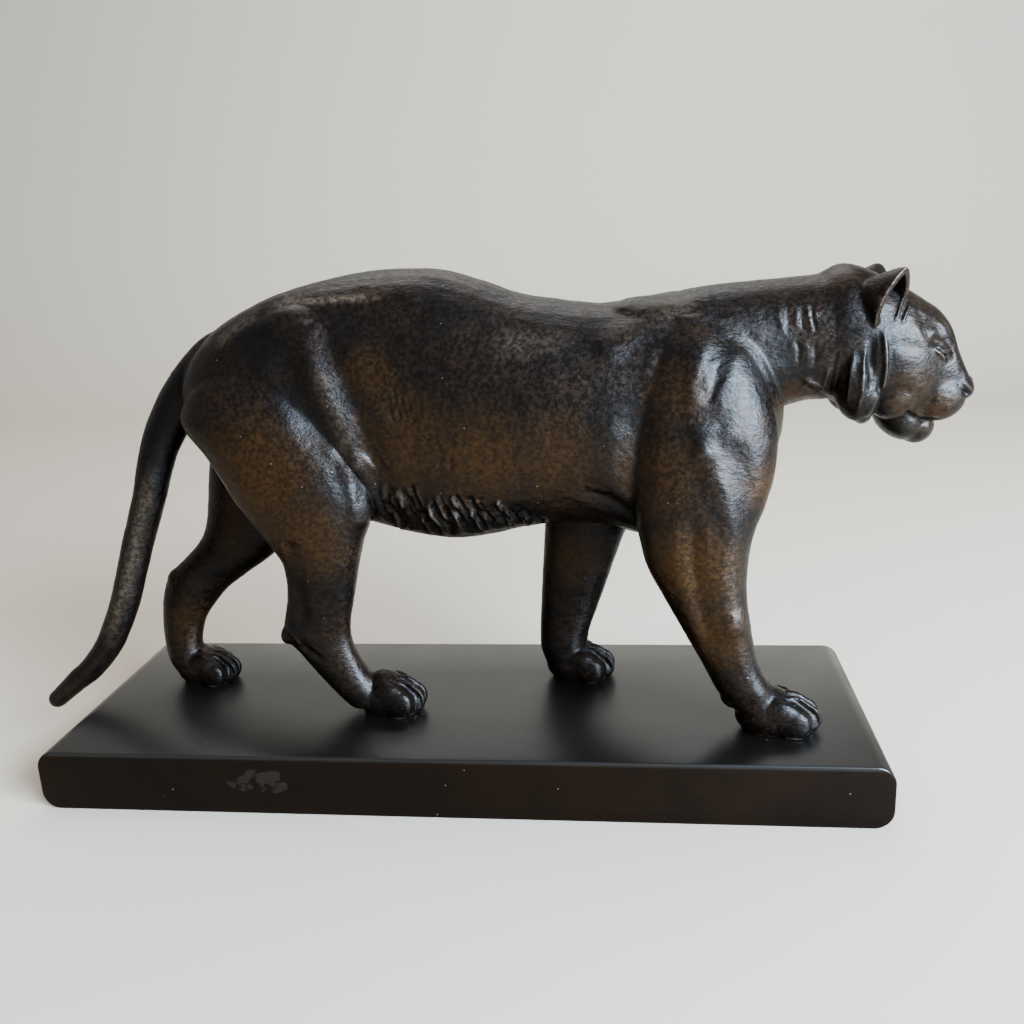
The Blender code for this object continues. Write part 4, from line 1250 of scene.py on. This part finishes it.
def plinth_material(colours):
    """Black finish, browner on its sides, with a glossier top, a scuff and dust."""
    made, tree, shader, place = new_material("black plinth")
    clouds = use_group(tree, "Cloudy Mottle", Vector=place, Size=0.035, Sharpness=0.5)
    colour = mix_colours(tree, clouds, colours.plinth, colours.plinth_brown)
    axes = add_node(tree, "ShaderNodeSeparateXYZ", {0: place})
    upper = ramp(tree, axes.outputs["Z"], PLINTH_HIGH.z - 0.0018, PLINTH_HIGH.z - 0.0003)
    colour = mix_colours(tree, upper, colour, colours.plinth_top)
    patch = add_node(tree, "ShaderNodeMapping", {"Vector": place, **SCUFF_PLACE})
    distance = add_node(tree, "ShaderNodeVectorMath", {0: patch.outputs[0]}, operation="LENGTH")
    ragged = use_group(tree, "Cloudy Mottle", Vector=place, Size=0.004, Sharpness=0.8)
    inside = ramp(tree, distance.outputs["Value"], 0.016, 0.004)
    scuff = ramp(tree, sum_up(tree, "MULTIPLY", inside, ragged), 0.25, 0.42)
    colour = mix_colours(tree, sum_up(tree, "MULTIPLY", scuff, 0.8), colour, colours.scuff)
    specks = use_group(tree, "Dust Specks", Vector=place, Spacing=0.0032, Share=0.08)
    colour = mix_colours(tree, sum_up(tree, "MULTIPLY", specks, 0.3), colour, colours.dust)
    tree.links.new(colour, shader["Base Color"])
    tree.links.new(ramp(tree, clouds, 0.0, 1.0, 0.28, 0.40), shader["Roughness"])
    shader["Specular IOR Level"].default_value = 0.12
    tree.links.new(sum_up(tree, "MULTIPLY", upper, 0.95), shader["Coat Weight"])
    shader["Coat Roughness"].default_value = 0.33
    grain = use_group(tree, "Fine Grain", Vector=place, Size=0.0012, Stretch=3.0)
    tree.links.new(bump(tree, grain, 0.35, 0.0002), shader["Normal"])
    return made


def steel_material(colours):
    """Turned steel with a fine lathe grain and a little grime."""
    made, tree, shader, place = new_material("screw steel")
    grime = use_group(tree, "Cloudy Mottle", Vector=place, Size=0.002, Sharpness=0.7)
    dirt = sum_up(tree, "MULTIPLY", grime, 0.5)
    colour = mix_colours(tree, dirt, colours.steel, colours.grime_and_shade)
    tree.links.new(colour, shader["Base Color"])
    tree.links.new(ramp(tree, grime, 0.0, 1.0, 0.25, 0.5), shader["Roughness"])
    shader["Metallic"].default_value = 1.0
    grain = use_group(tree, "Fine Grain", Vector=place, Size=0.0002, Stretch=1.0)
    tree.links.new(bump(tree, grain, 0.2, 0.00005), shader["Normal"])
    return made


# Settings


def length(name, description, default, **more):
    return FloatProperty(
        name=name, description=description, default=default, unit="LENGTH", precision=5, **more
    )


def colour(name, description, default):
    return FloatVectorProperty(
        name=name,
        description=description,
        default=(*default, 1.0),
        subtype="COLOR",
        size=4,
        min=0.0,
        max=1.0,
    )


class LionessSizes(bpy.types.PropertyGroup):
    voxel: length("Voxel", "Edge of the voxels that fuse the figure's masses", 0.0005, min=0.0003)
    relax_reach: length("Relax Reach", "How far joins between masses melt together", 0.0042)
    triangles: IntProperty(
        name="Triangles", description="Triangles of the finished figure", default=186000
    )
    end_radius: length("End Radius", "Rounding of the plinth's two short ends", 0.0060)
    edge_bevel: length("Edge Bevel", "Bevel along the plinth's crisp edges", 0.0006)


class LionessColours(bpy.types.PropertyGroup):
    dark: colour("Dark Patina", "Darkest tone of the patina", (0.0050, 0.0038, 0.0032))
    brown: colour("Brown Patina", "Middle tone of the patina", (0.0205, 0.0106, 0.0050))
    # Golden brown painted in as a warm reflection from below
    warm_reflection: colour("Warm Patina", "Golden brown of the handled places", (0.043, 0.0190, 0.0042))
    # Pale tan of worn ridges, also used as painted highlight
    bare: colour("Bare Bronze", "Pale tan of the worn ridges", (0.22, 0.165, 0.115))
    # Dark of the patina in furrows, of painted shade in recesses, and of grime on the screws
    grime_and_shade: colour("Hollows", "Darkened furrows", (0.0020, 0.0016, 0.0015))
    dust: colour("Dust", "Dust that lies on every finish", (0.26, 0.25, 0.23))
    plinth: colour("Plinth", "Black of the plinth", (0.0040, 0.0027, 0.0018))
    plinth_brown: colour("Plinth Brown", "Brown cast of the plinth", (0.0070, 0.0030, 0.0010))
    plinth_top: colour("Plinth Top", "Black of the plinth's top", (0.0042, 0.0034, 0.0028))
    scuff: colour("Scuff", "Grey of the scuffed patch", (0.016, 0.0125, 0.0100))
    steel: colour("Steel", "Steel of the screws", (0.48, 0.48, 0.49))


class LionessStage(bpy.types.PropertyGroup):
    camera_place: FloatVectorProperty(
        name="Camera",
        description="Place of the camera",
        default=(0.0599, -0.3149, 0.1755),
        subtype="TRANSLATION",
        unit="LENGTH",
    )
    lens: FloatProperty(
        name="Lens", description="Focal length on a 36 mm sensor, in millimetres", default=35.02
    )
    floor: colour("Floor", "Pale floor", (0.47, 0.405, 0.32))


# Operators


class LIONESS_OT_make_finishes(bpy.types.Operator):
    """Make the shared node groups and the three finishes"""

    bl_idname = "lioness.make_finishes"
    bl_label = "Make Finishes"

    def execute(self, context):
        colours = context.scene.lioness_colours
        cloudy_group()
        specks_group()
        grain_group()
        bronze_material(colours)
        plinth_material(colours)
        steel_material(colours)
        return {"FINISHED"}


class LIONESS_OT_sculpt_figure(bpy.types.Operator):
    """Block out, fuse and work over the lioness in place of her CAD solid"""

    bl_idname = "lioness.sculpt_figure"
    bl_label = "Sculpt Lioness"

    def execute(self, context):
        sizes = context.scene.lioness_sizes
        figure = block_out(sizes.voxel)
        sculpt(figure, sizes)
        figure.data.transform(Matrix.Translation((0.0, 0.0, SOLES)))
        drill_paw_places(figure, SHAFT_HOLE, PLINTH_HIGH.z / 2, SCREW_TOP + SOLES_GAP)
        mesh = figure.data
        mesh.transform(Matrix.Translation((0.0, 0.0, -SOLES)))
        paint_wear_and_light(mesh)
        mesh.transform(Matrix.Translation((0.0, 0.0, SOLES)))
        mesh.shade_smooth()
        mesh.materials.append(bpy.data.materials["patinated bronze"])
        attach(figure, "root")
        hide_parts("lioness")
        return {"FINISHED"}


class LIONESS_OT_model_plinth(bpy.types.Operator):
    """Model the slab that she stands on in place of its CAD solid"""

    bl_idname = "lioness.model_plinth"
    bl_label = "Model Plinth"

    def execute(self, context):
        plinth = model_plinth(context.scene.lioness_sizes)
        drill_paw_places(plinth, HEAD_HOLE, -SOLES_GAP, HEAD_HOLE_TOP)
        drill_paw_places(plinth, SHAFT_HOLE, SHAFT_HOLE_BOTTOM, PLINTH_HIGH.z * 1.5)
        mesh = plinth.data
        mesh.set_sharp_from_angle(angle=math.radians(SHARP_ANGLE))
        mesh.materials.append(bpy.data.materials["black plinth"])
        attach(plinth, "root")
        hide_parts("plinth")
        return {"FINISHED"}


class LIONESS_OT_finish_screws(bpy.types.Operator):
    """Give the four screws under the paws their steel"""

    bl_idname = "lioness.finish_screws"
    bl_label = "Finish Screws"

    def execute(self, context):
        steel = bpy.data.materials["screw steel"]
        for paw in PAWS:
            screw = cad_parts["paw_screw_" + paw]
            screw.data.materials.clear()
            screw.data.materials.append(steel)
        return {"FINISHED"}


class LIONESS_OT_set_stage(bpy.types.Operator):
    """Set the floor, the lights, the sky and the camera"""

    bl_idname = "lioness.set_stage"
    bl_label = "Set Stage"

    def execute(self, context):
        stage = context.scene.lioness_stage
        floor = model_sweep()
        floor_finish = bpy.data.materials.new("pale floor")
        floor_finish.use_nodes = True
        shader = floor_finish.node_tree.nodes["Principled BSDF"].inputs
        shader["Base Color"].default_value = stage.floor
        shader["Roughness"].default_value = FLOOR_ROUGHNESS
        floor.data.materials.append(floor_finish)
        for light in LIGHTS:
            add_light(*light)
        world = bpy.data.worlds.new("studio")
        context.scene.world = world
        world.use_nodes = True
        sky = world.node_tree.nodes["Background"].inputs
        sky["Color"].default_value = SKY
        sky["Strength"].default_value = SKY_STRENGTH
        context.scene.view_settings.look = "AgX - Medium High Contrast"
        add_camera(stage)
        return {"FINISHED"}


def model_sweep():
    """A floor that curves up into a wall behind the object."""
    flat = SWEEP_BACK - SWEEP_RADIUS
    profile = [(-SWEEP_REACH, 0.0), (flat - SWEEP_EASE, 0.0), (flat, 0.0)]
    for k in range(1, SWEEP_STEPS + 1):
        turn = math.radians(90.0 * k / SWEEP_STEPS)
        out, up = math.sin(turn), 1.0 - math.cos(turn)
        profile.append((flat + SWEEP_RADIUS * out, SWEEP_RADIUS * up))
    profile += [(SWEEP_BACK, SWEEP_RADIUS + SWEEP_EASE), (SWEEP_BACK, SWEEP_HEIGHT)]
    bm = bmesh.new()
    verts = [bm.verts.new((-SWEEP_REACH, y, z)) for y, z in profile]
    edges = [bm.edges.new(pair) for pair in zip(verts, verts[1:])]
    grown = bmesh.ops.extrude_edge_only(bm, edges=edges)
    moved = [item for item in grown["geom"] if isinstance(item, bmesh.types.BMVert)]
    bmesh.ops.translate(bm, verts=moved, vec=(2.0 * SWEEP_REACH, 0.0, 0.0))
    bmesh.ops.recalc_face_normals(bm, faces=bm.faces)
    floor = object_from_bmesh("floor", bm)
    floor.data.shade_smooth()
    return floor


def add_camera(stage):
    data = bpy.data.cameras.new("camera")
    data.sensor_width = SENSOR_WIDTH
    data.lens = stage.lens
    data.clip_start = NEAREST_SEEN
    camera = bpy.data.objects.new("camera", data)
    bpy.context.scene.collection.objects.link(camera)
    turn = (
        Matrix.Rotation(math.radians(CAMERA_YAW), 4, "Z")
        @ Matrix.Rotation(math.radians(90.0 - CAMERA_PITCH), 4, "X")
        @ Matrix.Rotation(math.radians(CAMERA_ROLL), 4, "Z")
    )
    camera.matrix_world = Matrix.Translation(stage.camera_place) @ turn
    bpy.context.scene.camera = camera


def add_light(name, place, size, power, colour_of_light):
    data = bpy.data.lights.new(name, "AREA")
    data.size = size
    data.energy = power
    data.color = colour_of_light
    light = bpy.data.objects.new(name, data)
    bpy.context.scene.collection.objects.link(light)
    aim = Vector(LIT_POINT) - Vector(place)
    turn = aim.to_track_quat("-Z", "Y").to_matrix().to_4x4()
    light.matrix_world = Matrix.Translation(place) @ turn


class LIONESS_PT_panel(bpy.types.Panel):
    bl_idname = "LIONESS_PT_panel"
    bl_label = "Walking Lioness"
    bl_space_type = "VIEW_3D"
    bl_region_type = "UI"
    bl_category = "Lioness"

    def draw(self, context):
        for operator in OPERATORS:
            self.layout.operator(operator.bl_idname)
        for name, _ in SETTINGS:
            group = getattr(context.scene, name)
            box = self.layout.box()
            for label in group.bl_rna.properties.keys():
                if label not in ("rna_type", "name"):
                    box.prop(group, label)


SETTINGS = (
    ("lioness_sizes", LionessSizes),
    ("lioness_colours", LionessColours),
    ("lioness_stage", LionessStage),
)
OPERATORS = (
    LIONESS_OT_make_finishes,
    LIONESS_OT_sculpt_figure,
    LIONESS_OT_model_plinth,
    LIONESS_OT_finish_screws,
    LIONESS_OT_set_stage,
)


def register():
    for name, group in SETTINGS:
        bpy.utils.register_class(group)
        setattr(bpy.types.Scene, name, PointerProperty(type=group))
    for cls in (*OPERATORS, LIONESS_PT_panel):
        bpy.utils.register_class(cls)


def unregister():
    for cls in reversed((*OPERATORS, LIONESS_PT_panel)):
        bpy.utils.unregister_class(cls)
    for name, group in reversed(SETTINGS):
        delattr(bpy.types.Scene, name)
        bpy.utils.unregister_class(group)


def main():
    register()
    bpy.ops.lioness.make_finishes()
    bpy.ops.lioness.sculpt_figure()
    bpy.ops.lioness.model_plinth()
    bpy.ops.lioness.finish_screws()
    bpy.ops.lioness.set_stage()


if __name__ == "__main__":
    main()
